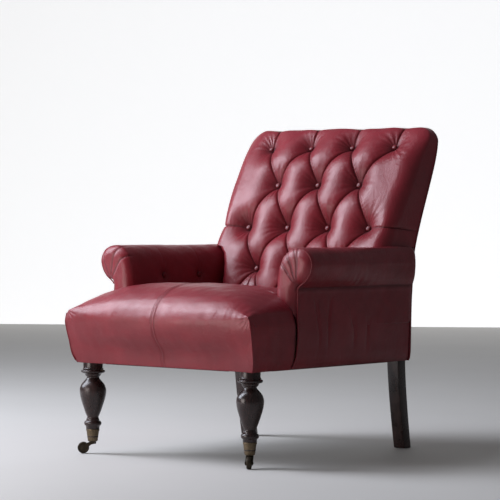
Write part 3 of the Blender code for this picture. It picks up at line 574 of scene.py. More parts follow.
def tuft(s, t, wells, folds, scale=1.0, seed=3):
    """Depth to which buttons and folds pull leather laid out flat at (s, t), and how much painted shade it gets in the
    wells, folds and puckers.

    wells are (s, t, depth); folds are ((s, t), (s, t), depth at its middle, depth at its far end).
    """
    size = sizes()
    well = np.zeros_like(s)
    painted_shade = np.zeros_like(s)
    for number, (ws, wt, depth) in enumerate(wells):
        ds, dt = s - ws, t - wt
        r = np.hypot(ds, dt)
        angle = np.arctan2(dt, ds)
        funnel = (1 - np.clip((r - 0.005) / (size.well_reach * scale), 0, 1)) ** 2.5
        # fine wrinkles run out from the button, uneven in length and depth
        wander = angle + 0.04 * np.sin(r * 70 + number * 2.3)
        pucker = np.sin(wander * 17 + number * 1.7 + 1.6 * np.sin(wander * 3 + number))
        uneven = 0.25 + 0.75 * (0.5 + 0.5 * np.sin(wander * 2.3 + number * 2.1 + seed)) ** 1.5
        window = np.clip((r - 0.008) / 0.007, 0, 1) * bell(r, 0.047 * scale)
        well = np.maximum(well, depth * funnel + 0.0011 * scale * pucker * uneven * window)
        # painted shade: dark in each well round its button, and along the puckers round it
        painted_shade = np.maximum(painted_shade, 0.95 * bell(r, 0.017 * scale))
        painted_shade = np.maximum(painted_shade, 0.42 * bell(r, 0.034 * scale) * (0.65 + 0.35 * pucker))
    crease = np.zeros_like(s)
    slits = np.zeros_like(s)
    for number, (start, stop, middle, far) in enumerate(folds):
        along = np.subtract(stop, start)
        length = math.hypot(*along)
        along = along / length
        ds, dt = s - start[0], t - start[1]
        run = np.clip(ds * along[0] + dt * along[1], 0.0, length)
        off = np.hypot(ds - run * along[0], dt - run * along[1])
        share = run / length
        depth = middle + (far - middle) * np.clip(2 * share - 1, 0, 1) ** 1.5
        reach = size.fold_reach * scale * (0.35 + 0.65 * np.clip(depth / max(middle, 1e-6), 0, 1))
        firm = np.clip(depth / 0.006, 0, 1)
        gather = 0.0006 * np.sin(run * 560 + number * 2.0) * np.exp(-off / 0.012) * np.clip(off / 0.004, 0, 1)
        slit = 0.0042 * bell(off, 0.0016) * firm * scale
        if along[0] > 0.2 and along[1] < -0.2:
            # leather laid over in a flat pleat shows a second edge beside the first
            beside = (ds * along[1] - dt * along[0]) + 0.0072
            ends = np.clip(run / 0.02, 0, 1) * np.clip((length - run) / 0.02, 0, 1)
            slit = slit + 0.0014 * bell(beside, 0.0013) * firm * ends
            # painted shade along that second edge
            painted_shade = np.maximum(painted_shade, 0.5 * bell(beside, 0.0014) * firm * ends)
        crease += (depth * dome(off / reach)) ** 4
        slits = np.maximum(slits, slit + gather * firm)
        # painted shade along the fold line itself
        painted_shade = np.maximum(painted_shade, 0.9 * bell(off, 0.0015) * firm)
    deepest = max([w[2] for w in wells] + [0.01])
    crease = crease**0.25 + slits
    return well + crease * (1 - 0.70 * np.clip(well / deepest, 0, 1)), np.clip(painted_shade, 0, 1)


def nearest(points, place):
    return int(np.argmin(((points - np.asarray(place)) ** 2).sum(1)))


def middle_of(node):
    low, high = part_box(node)
    return (np.array(low) + np.array(high)) / 2


def tube(name, points, radius, closed=False):
    """Piping: a round cord laid along points."""
    deselect()
    data = bpy.data.curves.new(name, "CURVE")
    data.dimensions = "3D"
    data.bevel_depth = radius
    data.bevel_resolution = 2
    data.use_fill_caps = True
    spline = data.splines.new("POLY")
    spline.points.add(len(points) - 1)
    for point, co in zip(spline.points, points):
        point.co = (*co, 1)
    spline.use_cyclic_u = closed
    obj = bpy.data.objects.new(name, data)
    bpy.context.scene.collection.objects.link(obj)
    only(obj)
    bpy.ops.object.convert(target="MESH")
    obj = bpy.context.object
    smooth(obj, 60)
    return obj


def lathe(name, rings, steps):
    """Turns a solid: a round face is extruded and resized ring by ring, (radius, z), from the bottom up."""
    deselect()
    radius, height = rings[0]
    bpy.ops.mesh.primitive_circle_add(vertices=steps, radius=radius, fill_type="NGON", location=(0, 0, height))
    obj = bpy.context.object
    bpy.ops.object.transform_apply(location=True, rotation=False, scale=False)
    bpy.ops.object.mode_set(mode="EDIT")
    bpy.ops.mesh.select_all(action="SELECT")
    for next_radius, next_height in rings[1:]:
        bpy.ops.mesh.extrude_region_move(TRANSFORM_OT_translate={"value": (0, 0, next_height - height)})
        ratio = next_radius / radius
        bpy.ops.transform.resize(value=(ratio, ratio, 1), center_override=(0, 0, next_height))
        radius, height = next_radius, next_height
    face_outward(obj)
    obj.name = name
    return obj


def rounded(points, steps):
    """Points along a smooth line through the given ones, evenly many between each two."""
    points = [np.array(p, float) for p in points]
    line = []
    for i in range(len(points) - 1):
        p0, p1, p2 = points[max(i - 1, 0)], points[i], points[i + 1]
        p3 = points[min(i + 2, len(points) - 1)]
        for k in range(steps):
            t = k / steps
            bend = 2 * p0 - 5 * p1 + 4 * p2 - p3
            twist = 3 * p1 - p0 - 3 * p2 + p3
            line.append(0.5 * (2 * p1 + (p2 - p0) * t + bend * t**2 + twist * t**3))
    line.append(points[-1])
    return np.array(line)


# ---------------------------------------------------------------- seat
SEAT_CENTRE = [(0.0, 0.050), (0.046, 0.038), (0.078, 0.0135), (0.12, 0.001), (0.137, 0.0)]  # height, set back
SEAT_CORNER = [(0.0, 0.043), (0.024, 0.034), (0.057, 0.027), (0.088, 0.0205), (0.118, 0.0135), (0.14, 0.0145)]
SIDE_SWELL = [(0.0, -0.002), (0.006, 0.002), (0.024, 0.0088), (0.057, 0.0120), (0.09, 0.0143), (0.22, 0.0130)]
SIDE_SEAM = [(0.0, -0.2340), (0.04, -0.2270), (0.075, -0.2245), (0.14, -0.2290), (0.21, -0.2265)]  # height, y
SEAT_REAR = SEAT_HIGH[1]


def side_half(z):
    """Half the body's width below the arms, where the sides swell outwards."""
    return BODY_HALF + profile(z - BASE_Z, SIDE_SWELL)


def side_seam_y(z):
    return profile(z - BASE_Z, SIDE_SEAM)


def seat_front(a, z):
    """Y of the seat's front face, at a share a (-1 to 1) of its half width."""
    rise = z - BASE_Z
    centre, corner = profile(rise, SEAT_CENTRE), profile(rise, SEAT_CORNER)
    weight = np.abs(a) ** 2.6
    return FRONT + centre * (1 - weight) + corner * weight


def seat_top(x, y):
    """Height of the seat: domed from side to side, rolled over in front, sinking a little to the back."""
    roll_end = FRONT + sizes().seat_roll
    fx = np.clip(np.abs(x) / (BODY_HALF + 0.008), 0, 1)
    fy = np.clip((roll_end - y) / sizes().seat_roll, 0, 1)
    edge = BASE_Z + 0.120 + 0.025 * fx**3
    crown = BASE_Z + 0.2235 - 0.024 * ease((y - roll_end - 0.02) / 0.42)
    return edge + (crown - edge) * np.maximum(1 - fx**4, 0) ** 0.64 * np.sqrt(np.maximum(1 - fy**2, 0))


def seat_surface(share):
    """Places a net of shares on the seat: a full-width roll in front, then a tongue between the arms."""
    size = sizes()
    a = 2 * share[:, 0] - 1
    b, c = share[:, 1], share[:, 2]
    # columns crowd towards the sides and rows towards the front, where the leather turns over
    a = np.sign(a) * np.where(np.abs(a) < 0.5, np.abs(a) * 1.1, 0.55 + 0.45 * np.sin((np.abs(a) - 0.5) * math.pi))
    roll_end = FRONT + size.seat_roll
    turn, step = 0.34, 0.42
    step_y = PANEL_LOW[1] + 0.003
    y_flat = np.interp(b, [turn, step, step + 0.012, 1.0], [roll_end, step_y, step_y + 0.0006, SEAT_REAR])
    y_flat = np.where(b < turn, roll_end - size.seat_roll * np.cos(np.clip(b / turn, 0, 1) * math.pi / 2), y_flat)
    narrow = b > step + 0.006
    turn_in = 0.020 * (1 - np.cos(np.clip((c - 0.80) / 0.20, 0, 1) * math.radians(62)))
    half = np.where(narrow, INSIDE_HALF - 0.0015, side_half(BASE_Z + c * 0.138) - turn_in)
    x = a * half
    z_top = seat_top(x, y_flat)
    edge_x = np.where(c >= 1, x, np.sign(a) * np.minimum(np.abs(x), half))
    z = BASE_Z + c * (seat_top(edge_x, y_flat) - BASE_Z)
    z = np.where(c >= 1, z_top, z)
    face = seat_front(a, z)
    forward = np.clip(1 - (y_flat - FRONT) / 0.13, 0, 1)
    y = y_flat + (face - FRONT) * forward**1.5
    seam = side_seam_y(z) - step_y
    back_share = np.clip((y_flat - roll_end) / (step_y - roll_end), 0, 1) * (b <= step)
    y = y + seam * back_share * np.clip((np.abs(a) - 0.9) / 0.1, 0, 1)
    return np.stack([x, y, z], 1)


def make_seat():
    share, quads = block_net(300, 240, 56, open_side=(2, False))
    points = seat_surface(share)
    held = (share[:, 2] == 0) | (share[:, 1] > 0.425)
    points = relax(points, quads, held, 12)
    normal = outward(points, quads)
    x, y, z = points.T
    fold = np.zeros(len(points))
    depth = np.zeros(len(points))
    # middle seam, from the tacks under the front over the top to the back
    way = x - 0.004 * np.sin((y - FRONT) * 9)
    depth += 0.0016 * bell(way, 0.0016) - 0.0009 * bell(way - 0.005, 0.004)
    depth += 0.0005 * bell(way - 0.0095, 0.0012)
    # painted shade along the seam's groove
    fold = np.maximum(fold, 0.55 * bell(way, 0.0013))
    # mitred corners: a seam down each, and small gathers above it
    for side in (-1, 1):
        top = np.array([side * (BODY_HALF + 0.009), FRONT + 0.016, BASE_Z + 0.145])
        away = points - top
        r = np.linalg.norm(away, axis=1)
        angle = np.arctan2(away[:, 2], np.hypot(away[:, 0], away[:, 1]) * np.sign(-side * away[:, 0] + away[:, 1]))
        depth += 0.0006 * np.sin(angle * 16) * bell(r - 0.020, 0.015)
    # the ends that meet the side seams, and the line along the arms, darkened as painted shade
    ends = (y > -0.24) & (y < -0.222) & (np.abs(x) > INSIDE_HALF + 0.02)
    fold = np.maximum(fold, 0.8 * ends)
    # slack and pull marks
    front_zone = bell(z - BASE_Z - 0.155, 0.035) * (y < FRONT + 0.06)
    fine = np.sin(x * 430 + 2.2 * np.sin(x * 57)) * (0.5 + 0.5 * np.sin(x * 23 + 1.0)) ** 2
    depth += 0.00022 * fine * front_zone * np.clip((np.abs(x) - 0.12) / 0.15, 0, 1)
    depth += 0.0011 * drift(points, 0.17, 4) + 0.0004 * drift(points, 0.045, 5)
    points = points - normal * depth[:, None]
    worn = np.clip(normal[:, 2], 0, 1) * 0.55 + bell(z - BASE_Z - 0.17, 0.03) * 0.35
    points, faces = close_open_side(points, quads)
    seat = mesh_object("seat", points, faces, fold=fold, worn=worn)
    keep_hide(seat, "seat", "seat_cover", "seat_pad")
    return points


def make_seat_seams(points):
    """Twin rows of stitches beside the middle seam, and piping down each front corner."""
    size = sizes()
    stitches = []
    for offset in (-0.0062, 0.0062):
        near = points[np.abs(points[:, 0] - offset) < 0.0016]
        front = near[(near[:, 1] < FRONT + 0.1) & (near[:, 2] < BASE_Z + 0.16)]
        front = front[np.argsort(front[:, 2])]
        upper = near[near[:, 2] >= BASE_Z + 0.16]
        upper = upper[np.argsort(upper[:, 1])]
        line = np.vstack([front, upper])
        path = [line[0]]
        for p in line[1:]:
            if np.linalg.norm(p - path[-1]) > 0.004:
                path.append(p)
        stitches.append(np.array([(offset, p[1], p[2]) for p in path]))
    verts, faces = [], []
    for path in stitches:
        heading = np.gradient(path, axis=0)
        heading /= np.linalg.norm(heading, axis=1, keepdims=True)
        for p, h in zip(path[1:-1], heading[1:-1]):
            up = np.cross((1.0, 0, 0), h)
            up = up if up[2] - up[1] > 0 else -up
            base = len(verts)
            for end, lift in ((-0.0014, 0.0), (-0.0007, 0.00045), (0.0007, 0.00045), (0.0014, 0.0)):
                for side in (-1, 1):
                    verts.append(p + h * end + up * (0.0004 + lift) + np.array((side * 0.00035, 0, 0)))
                    verts.append(p + h * end + up * (-0.0005) + np.array((side * 0.00035, 0, 0)))
            for k in range(3):
                o, n = base + 4 * k, base + 4 * (k + 1)
                faces += [[o, o + 2, n + 2, n], [o + 1, n + 1, n + 3, o + 3]]
                faces += [[o, n, n + 1, o + 1], [o + 2, o + 3, n + 3, n + 2]]
            e = base + 12
            faces += [[base, base + 1, base + 3, base + 2], [e, e + 2, e + 3, e + 1]]
    thread = mesh_object("seat_stitching", np.array(verts), faces)
    face_outward(thread)
    keep(thread, "seat_stitching", "Seam thread", "red_leather", "chair")
    for side, hand in SIDES:
        corner = points[(points[:, 0] * side > BODY_HALF - 0.03) & (points[:, 1] < FRONT + 0.05)]
        line = []
        for z in np.arange(BASE_Z + 0.006, BASE_Z + 0.139, 0.006):
            band = corner[np.abs(corner[:, 2] - z) < 0.004]
            if len(band):
                tip = band[np.argmax(band[:, 0] * side - band[:, 1])]
                line.append((tip[0] - side * 0.0004, tip[1] + 0.0004, z))
        line = rounded(line[::3] + [line[-1]], 5)
        cord = tube("corner", line, size.piping * 0.62)
        keep_hide(cord, f"seat_corner_piping_{hand}")


class ARMCHAIR_OT_seat(bpy.types.Operator):
    """Makes the tight crowned seat, its middle seam and its piped corners"""

    bl_idname = "armchair.seat"
    bl_label = "Seat"

    def execute(self, context):
        make_seat_seams(make_seat())
        return {"FINISHED"}


ARM_SECTION = [
    (0.0, 0.362), (0.0008, 0.44), (0.004, 0.488), (0.0105, 0.524), (0.0225, 0.552), (0.0430, 0.571), (0.0680, 0.578),
    (0.0940, 0.574), (0.1130, 0.560), (0.1225, 0.536), (0.1160, 0.510), (0.1025, 0.491), (0.0880, 0.480),
    (0.0780, 0.472), (0.0712, 0.460), (0.0695, 0.44), (0.0680, 0.362),
]  # across from the inside of the arm, height
ARM_DRAWN_TOP = 0.578  # height of the arm's crest in ARM_SECTION
ARM_GAP = 0.0015  # from the seat's side to the arm
ROLL_CENTRE = (0.045, 0.500)
SCROLL_EYE = (0.0800, 0.477)  # where the pleats of the arm's front run together
PLEATS = {"left": (141, 113, 87), "right": (152, 141, 131, 121, 111, 100)}  # directions from the eye, in degrees


# ---------------------------------------------------------------- back
BACK_FACE = [(0.42, 0.318), (0.523, 0.285), (0.643, 0.229), (0.768, 0.178), (0.868, 0.115), (0.918, 0.060)]
BACK_REAR = [(0.20, 0.120), (0.45, 0.119), (0.55, 0.104), (0.65, 0.073), (0.75, 0.040), (0.85, 0.010), (0.906, 0.0)]
BACK_FOOT = 0.440
SHOULDER = ARM_TOP + 0.003


def back_face(z):
    return REAR - profile(z, BACK_FACE)


def back_rear(z):
    return REAR - profile(z, BACK_REAR)


def back_half(z):
    """Half the back's width: between the arms it follows their inner faces up and over their rolls."""
    full = BODY_HALF + 0.0005 + 0.014 * ease((z - SHOULDER) / 0.30)
    offsets, heights = np.array(ARM_SECTION[1:7]).T
    inner = INSIDE_HALF - 0.001 + np.interp(z, heights + ARM_TOP - ARM_DRAWN_TOP, offsets)
    return np.where(z > ARM_TOP, full, np.minimum(full, inner))


def back_surface(share):
    """Rounded block of the back, and each point's place on the leather laid out flat."""
    corner = sizes().back_rounding
    wide, deep, tall = BODY_HALF + 0.008, 0.135, TOP - BACK_FOOT
    a = 2 * share[:, 0] - 1
    x, y, z = a * wide, share[:, 1] * deep, share[:, 2] * tall
    # round the top corners as seen from the front
    inner = np.stack([np.clip(x, corner - wide, wide - corner), np.minimum(z, tall - corner)], 1)
    off = np.stack([x, z], 1) - inner
    reach = np.abs(off).max(1)
    off /= np.maximum(np.linalg.norm(off, axis=1), 1e-9)[:, None]
    # then round the front edge, more towards the top
    edge = 0.040 + (corner - 0.040) * ease((z - 0.10) / 0.30)
    out = np.maximum(reach - (corner - edge), 0)
    ahead = np.maximum(edge - y, 0)
    length = np.maximum(np.hypot(out, ahead), 1e-9)
    turning = (out > 0) & (ahead > 0)
    reach = np.where(turning, corner - edge + out / length * edge, reach)
    y = np.where(turning, edge - ahead / length * edge, y)
    solid = inner + off * reach[:, None]
    z_real = BACK_FOOT + solid[:, 1]
    a_real = solid[:, 0] / wide
    half = back_half(z_real)
    fall = 0.029 * np.abs(a_real) ** 2.1 + 0.006 * np.abs(a_real) ** 8
    fall *= 0.14 + 0.86 * ease((z_real - SHOULDER) / 0.29)
    face = back_face(z_real) + fall
    rear = back_rear(z_real) - 0.003
    points = np.stack([a_real * half, face + y / deep * (rear - face), z_real], 1)
    flat_s = points[:, 0] + off[:, 0] * y
    flat_t = z_real + off[:, 1] * y
    return points, flat_s, flat_t


def make_back():
    size = sizes()
    share, quads = block_net(360, 34, 260, open_side=(1, True))
    points, s, t = back_surface(share)
    normal = outward(points, quads)
    face = share[:, 1] < 0.001
    face_index = np.flatnonzero(face)
    wells, seats = [], {}
    for row in range(1, 5):
        count = 4 if row % 2 else 3
        for column in range(1, count + 1):
            centre = middle_of(f"back_button_{row}_{column}")
            i = face_index[nearest(points[face_index], centre)]
            depth = float(np.linalg.norm(points[i] - centre)) + 0.0015 + size.button_depth
            wells.append((s[i], t[i], depth))
            seats[row, column] = (s[i], t[i])
    middle = size.fold_depth
    folds = []
    for row in range(1, 4):
        short = row % 2 == 1  # a row of four over a row of three
        for column in range(1, 5 if short else 4):
            for step in ((-1, 0) if short else (0, 1)):
                below = seats.get((row + 1, column + step))
                if below:
                    folds.append((seats[row, column], below, middle, middle))
    pitch = seats[1, 2][0] - seats[1, 1][0]
    top_edge = TOP + 0.11
    for column in range(1, 5):
        here = seats[1, column]
        folds.append((here, (here[0] * 1.02, top_edge), 0.0075, 0.0030))
    for column in range(1, 4):
        here = seats[4, column]
        for lean in (-0.5, 0.5):
            folds.append((here, (here[0] + lean * pitch * 0.8, here[1] - 0.11), 0.010, 0.008))
        folds.append((here, (here[0] + 0.006, here[1] - 0.10), 0.004, 0.003))
    for side, column in ((-1, 1), (1, 4)):
        here = seats[3, column]
        folds.append((here, (side * (BODY_HALF + 0.13), here[1] - 0.020), 0.0068, 0.0026))
    # the second value is the painted shade of the wells, folds and puckers, stored in the fold trace
    depth, fold = tuft(s, t, wells, folds)
    # plump the diamonds a little unevenly, and draw fine wrinkles across the stretched sides
    depth += 0.0014 * drift(points, 0.12, 7) - 0.0028 * ease((points[:, 2] - TOP + 0.05) / 0.04)
    open_side = ease((np.abs(s) - 0.235) / 0.05)
    fine = np.sin(t * 420 + 1.8 * np.sin(t * 51) + s * 90) * (0.5 + 0.5 * np.sin(t * 31 + s * 17 + 2)) ** 3
    depth += 0.0003 * fine * open_side * bell(np.abs(s) - 0.25, 0.03)
    held = share[:, 1] > 0.97
    depth = np.where(held, 0.0, depth)
    points = points - normal * depth[:, None]
    crown = np.clip(1 - depth / 0.010, 0, 1)
    worn = crown * (0.35 + 0.3 * np.clip(normal[:, 2], 0, 1))
    points, faces = close_open_side(points, quads, (0, -0.05, 0))
    back = mesh_object("inside_back", points, faces, fold=fold, worn=worn)
    keep_hide(back, "inside_back", "inside_back_cover", "back_pad")


class ARMCHAIR_OT_back(bpy.types.Operator):
    """Makes the deep-buttoned inside back"""

    bl_idname = "armchair.back"
    bl_label = "Inside back"

    def execute(self, context):
        make_back()
        return {"FINISHED"}


# ---------------------------------------------------------------- buttons
def make_button(node, name, axis):
    """A leather-covered button: a low dome on a tucked rim, its face towards axis."""
    radius = 0.0080
    rings = [
        (radius * 0.55, -0.0036), (radius * 0.86, -0.0030), (radius * 0.99, -0.0014), (radius, 0.0002),
        (radius * 0.94, 0.0016), (radius * 0.78, 0.0028), (radius * 0.52, 0.0036), (radius * 0.22, 0.0040),
        (radius * 0.02, 0.0041),
    ]
    button = lathe(name, rings, 28)
    button.rotation_euler = Vector(axis).to_track_quat("Z", "Y").to_euler()
    button.location = Vector(middle_of(node)) - Vector(axis).normalized() * sizes().button_depth * 0.5
    smooth(button, 50)
    # the buttons take the darker copy of the hide, painted shade for their wells
    keep(button, name, "Oxblood leather, shaded buttons", "red_leather", "chair", node)


class ARMCHAIR_OT_buttons(bpy.types.Operator):
    """Sets a covered button in each well of the back and the inside arms"""

    bl_idname = "armchair.buttons"
    bl_label = "Buttons"

    def execute(self, context):
        for row in range(1, 5):
            for column in range(1, 5 if row % 2 else 4):
                node = f"back_button_{row}_{column}"
                z = middle_of(node)[2]
                slope = (back_face(np.array(z + 0.01)) - back_face(np.array(z - 0.01))) / 0.02
                make_button(node, f"button_{row}_{column}", (0, -1, float(slope)))
        for side, hand in SIDES:
            for number in (1, 2):
                make_button(f"arm_button_{hand}_{number}", f"inside_arm_button_{hand}_{number}", (-side, 0, 0))
        return {"FINISHED"}


# ---------------------------------------------------------------- arms
def arm_section(count):
    """The arm's outline seen from the front, evenly spaced, going from the inside over the roll."""
    line = rounded(ARM_SECTION, 24)
    line = np.vstack([line, line[:1]])
    step = np.linalg.norm(np.diff(line, axis=0), axis=1)
    run = np.concatenate([[0], np.cumsum(step)])
    at = np.linspace(0, run[-1], count, endpoint=False)
    return np.stack([np.interp(at, run, line[:, 0]), np.interp(at, run, line[:, 1])], 1), at


def make_arm(side, hand):
    count, length = 210, 220
    section, run = arm_section(count)
    shift_z = ARM_TOP - ARM_DRAWN_TOP
    rear_end = PANEL_HIGH[1] - 0.002
    eye = np.array(SCROLL_EYE)
    centre = np.array(ROLL_CENTRE)
    rim = 0.012  # how far behind the nominal front the domed face begins
    points = []
    caps, dome_high, dome_wide = 46, 0.024, 0.030
    for k in range(caps):
        ring = centre + (section - centre) * math.sin(math.pi / 2 * max(k, 0.02) / caps)
        gap = np.linalg.norm(ring[:, None] - section[None], axis=2).min(1)
        rise = dome_high * np.sqrt(1 - (1 - np.clip(gap / dome_wide, 0, 1)) ** 2)
        points.append(np.stack([ring[:, 0], ARM_FRONT + rim - rise, ring[:, 1]], 1))
    for k in range(length + 1):
        y = ARM_FRONT + rim + (rear_end - ARM_FRONT - rim) * k / length
        pull = 1 - 0.09 * max(0.0, (y - rear_end + 0.022) / 0.022) ** 2
        ring = centre + (section - centre) * pull
        points.append(np.stack([ring[:, 0], np.full(count, y), ring[:, 1]], 1))
    total = len(points)
    points = np.vstack([[centre[0], ARM_FRONT + rim - dome_high, centre[1]], *points])
    index = np.arange(total * count).reshape(total, count) + 1
    ahead = np.roll(index, -1, axis=1)
    quads = np.stack([index[:-1], ahead[:-1], ahead[1:], index[1:]], -1).reshape(-1, 4)
    normal = outward(points, quads)
    normal[0] = (0, -1, 0)
    x, y, z = points.T
    back = y - ARM_FRONT
    # pleats that run from the eye of the scroll out over the front edge
    around = np.arctan2(z - eye[1], x - eye[0])
    away = np.hypot(x - eye[0], z - eye[1])
    depth = np.zeros(len(points))
    fold = np.zeros(len(points))
    front_zone = bell(np.clip(back - 0.006, 0, 1), 0.016)
    pleat_width = {"left": 0.0105, "right": 0.0070}[hand]
    for number, angle in enumerate(np.radians(PLEATS[hand])):
        bend = -0.30 * np.sin(np.clip(away / 0.12, 0, 1) * math.pi)
        off = np.abs(around - angle - bend * (0.6 if number % 2 else 1.0)) * np.maximum(away, 0.004)
        strength = np.clip((away - 0.004) / 0.02, 0, 1) * front_zone
        depth += 0.0027 * dome(off / pleat_width) * strength
        # painted shade along each pleat
        fold = np.maximum(fold, bell(off, 0.0016) * strength * 0.85)
    hollow = bell(away, 0.010) * front_zone
    depth += 0.004 * hollow
    # painted shade in the hollow at the scroll's eye
    fold = np.maximum(fold, hollow * 0.6)
    # inside buttons, each in a shallow well with a fold up over the roll and one down to the seat
    s = y
    t = np.concatenate([[0], np.tile(run, total)])
    inner = (x < 0.03) & (back > 0.02)
    wells, folds = [], []
    for number in (1, 2):
        spot = middle_of(f"arm_button_{hand}_{number}")
        place = np.array([0.004, spot[1], spot[2]])
        options = np.flatnonzero(inner)
        i = options[nearest(points[options], place)]
        wells.append((s[i], t[i], 0.0065))
        folds.append(((s[i], t[i]), (s[i] + 0.004, t[i] + 0.115), 0.0008, 0.0002))
        folds.append(((s[i], t[i]), (s[i] - 0.003, t[i] - 0.10), 0.0010, 0.0009))
    well_depth, well_shade = tuft(s, t, wells, folds, scale=0.62, seed=11)
    reach = ease((back - 0.03) / 0.03)
    depth += well_depth * reach
    # painted shade round the inside buttons and along their folds
    fold = np.maximum(fold, well_shade * reach)
    # crease where the roll turns in over the outside panel, and slack along the roll
    under = np.hypot(x - 0.0740, z - 0.468)
    depth += 0.003 * bell(under, 0.006)
    # painted shade in that crease
    fold = np.maximum(fold, 0.9 * bell(under, 0.0055))
    ripple = np.sin(y * 190 + 1.5 * np.sin(y * 37)) * (0.5 + 0.5 * np.sin(y * 19 + 0.7)) ** 2
    depth += 0.0007 * ripple * bell(z - 0.487, 0.016) * (x > 0.06) * ease(back / 0.05)
    depth += 0.0009 * drift(points, 0.14, 21 + side) + 0.00035 * drift(points, 0.04, 31)
    points = points - normal * depth[:, None]
    # the ears of the seat pass in front of the arm below its roll
    ear = seat_top(INSIDE_HALF + points[:, 0], np.full(len(points), ARM_FRONT)) - 0.012
    behind = ARM_FRONT + 0.012
    points[:, 1] = np.where((points[:, 2] < ear) & (points[:, 1] < behind), behind, points[:, 1])
    narrower = 0.040 * ease((y - ARM_FRONT) / (rear_end - ARM_FRONT)) * np.clip((points[:, 0] - 0.072) / 0.050, 0, 1)
    points[:, 0] = side * (INSIDE_HALF + ARM_GAP + points[:, 0] - narrower)
    points[:, 2] += shift_z
    worn = np.clip(normal[:, 2], 0, 1) * 0.5 + 0.35 * front_zone
    faces = quads.tolist()
    first = index[0].tolist()
    for k in range(count):
        faces.append([0, first[k], first[(k + 1) % count]])
    last = index[-1].tolist()
    centre_rear = len(points)
    points = np.vstack([points, points[last].mean(0)])
    for k in range(count):
        faces.append([centre_rear, last[(k + 1) % count], last[k]])
    arm = mesh_object(f"arm_{hand}", points, faces, fold=fold, worn=worn)
    face_outward(arm)
    keep_hide(arm, f"arm_{hand}", f"arm_cover_{hand}", f"arm_pad_{hand}")
    outline = [(p[0], p[1]) for p in rounded(ARM_SECTION, 6)][40:82]
    inset = [centre + (np.array(place) - centre) * 0.955 for place in outline]
    line = [(side * (INSIDE_HALF + ARM_GAP + u), ARM_FRONT + 0.0015, v + shift_z) for u, v in inset]
    cord = tube("scroll", line, sizes().piping * 0.8)
    keep_hide(cord, f"scroll_piping_{hand}")


class ARMCHAIR_OT_arms(bpy.types.Operator):
    """Makes the two scrolled arms, with pleated fronts and piped scrolls"""

    bl_idname = "armchair.arms"
    bl_label = "Arms"

    def execute(self, context):
        for side, hand in SIDES:
            make_arm(side, hand)
        return {"FINISHED"}


# ---------------------------------------------------------------- outside panels
def make_outside_arm(side, hand):
    """Hide stretched over the outside of the arm, pulled under the base, with a piped front seam."""
    _, rear_y, top_z = PANEL_HIGH
    share, quads = block_net(2, 190, 84)
    a, b, c = share.T
    z = BASE_Z + c * (top_z + 0.008 - BASE_Z)
    front = side_seam_y(z)
    y = front + b * (rear_y - 0.005 - front)
    swell = 0.0022 * np.sin(np.clip(b, 0, 1) * math.pi) * np.sin(np.clip(c, 0, 1) * math.pi)
    pulls = 0.0
    for centre, width, sway in ((0.17, 0.012, 0.3), (0.27, 0.010, -0.2), (0.47, 0.016, 0.4), (0.62, 0.012, -0.3)):
        off = b - centre - sway * 0.05 * np.sin(c * 5)
        pulls = pulls + 0.0032 * bell(off, width) * ease((c - 0.05) / 0.5)
    puckers = 0.0008 * np.sin(y * 170 + 2 * np.sin(y * 41)) * ease((c - 0.72) / 0.28)
    out = swell - pulls * (a > 0.5) + puckers * (a > 0.5)
    tuck = 0.0021 * (1 - ease(c / 0.05))
    inner = BODY_HALF + (side_half(z) - BODY_HALF) * (1 - 0.6 * b) - 0.0042
    x = inner + a * 0.0035 + (out - tuck) * (a > 0.4)
    points = np.stack([side * x, y, z], 1)
    points[:, 0] += side * 0.0004 * drift(points, 0.09, 41)
    # painted shade under the roll along the top, along the tuck at the bottom and along the front seam
    fold = 0.75 * bell(c - 1, 0.04) + 0.4 * bell(c, 0.02) + 0.9 * bell(b, 0.008)
    if side < 0:
        quads = quads[:, ::-1]
    panel = mesh_object(f"outside_arm_{hand}", points, quads.tolist(), fold=fold, worn=np.full(len(fold), 0.15))
    keep_hide(panel, f"outside_arm_{hand}", f"outside_arm_panel_{hand}")
    heights = np.linspace(BASE_Z + 0.003, top_z + 0.002, 30)
    seam = [(side * (float(side_half(height)) + 0.0006), float(side_seam_y(height)), height) for height in heights]
    cord = tube("side_seam", seam, sizes().piping)
    keep_hide(cord, f"side_seam_piping_{hand}")


def outside_back_half(z):
    below = 0.4 * (side_half(z) - BODY_HALF) * (1 - ease((z - 0.46) / 0.11))
    return BODY_HALF + 0.0008 + below + 0.014 * ease((z - SHOULDER) / 0.30)


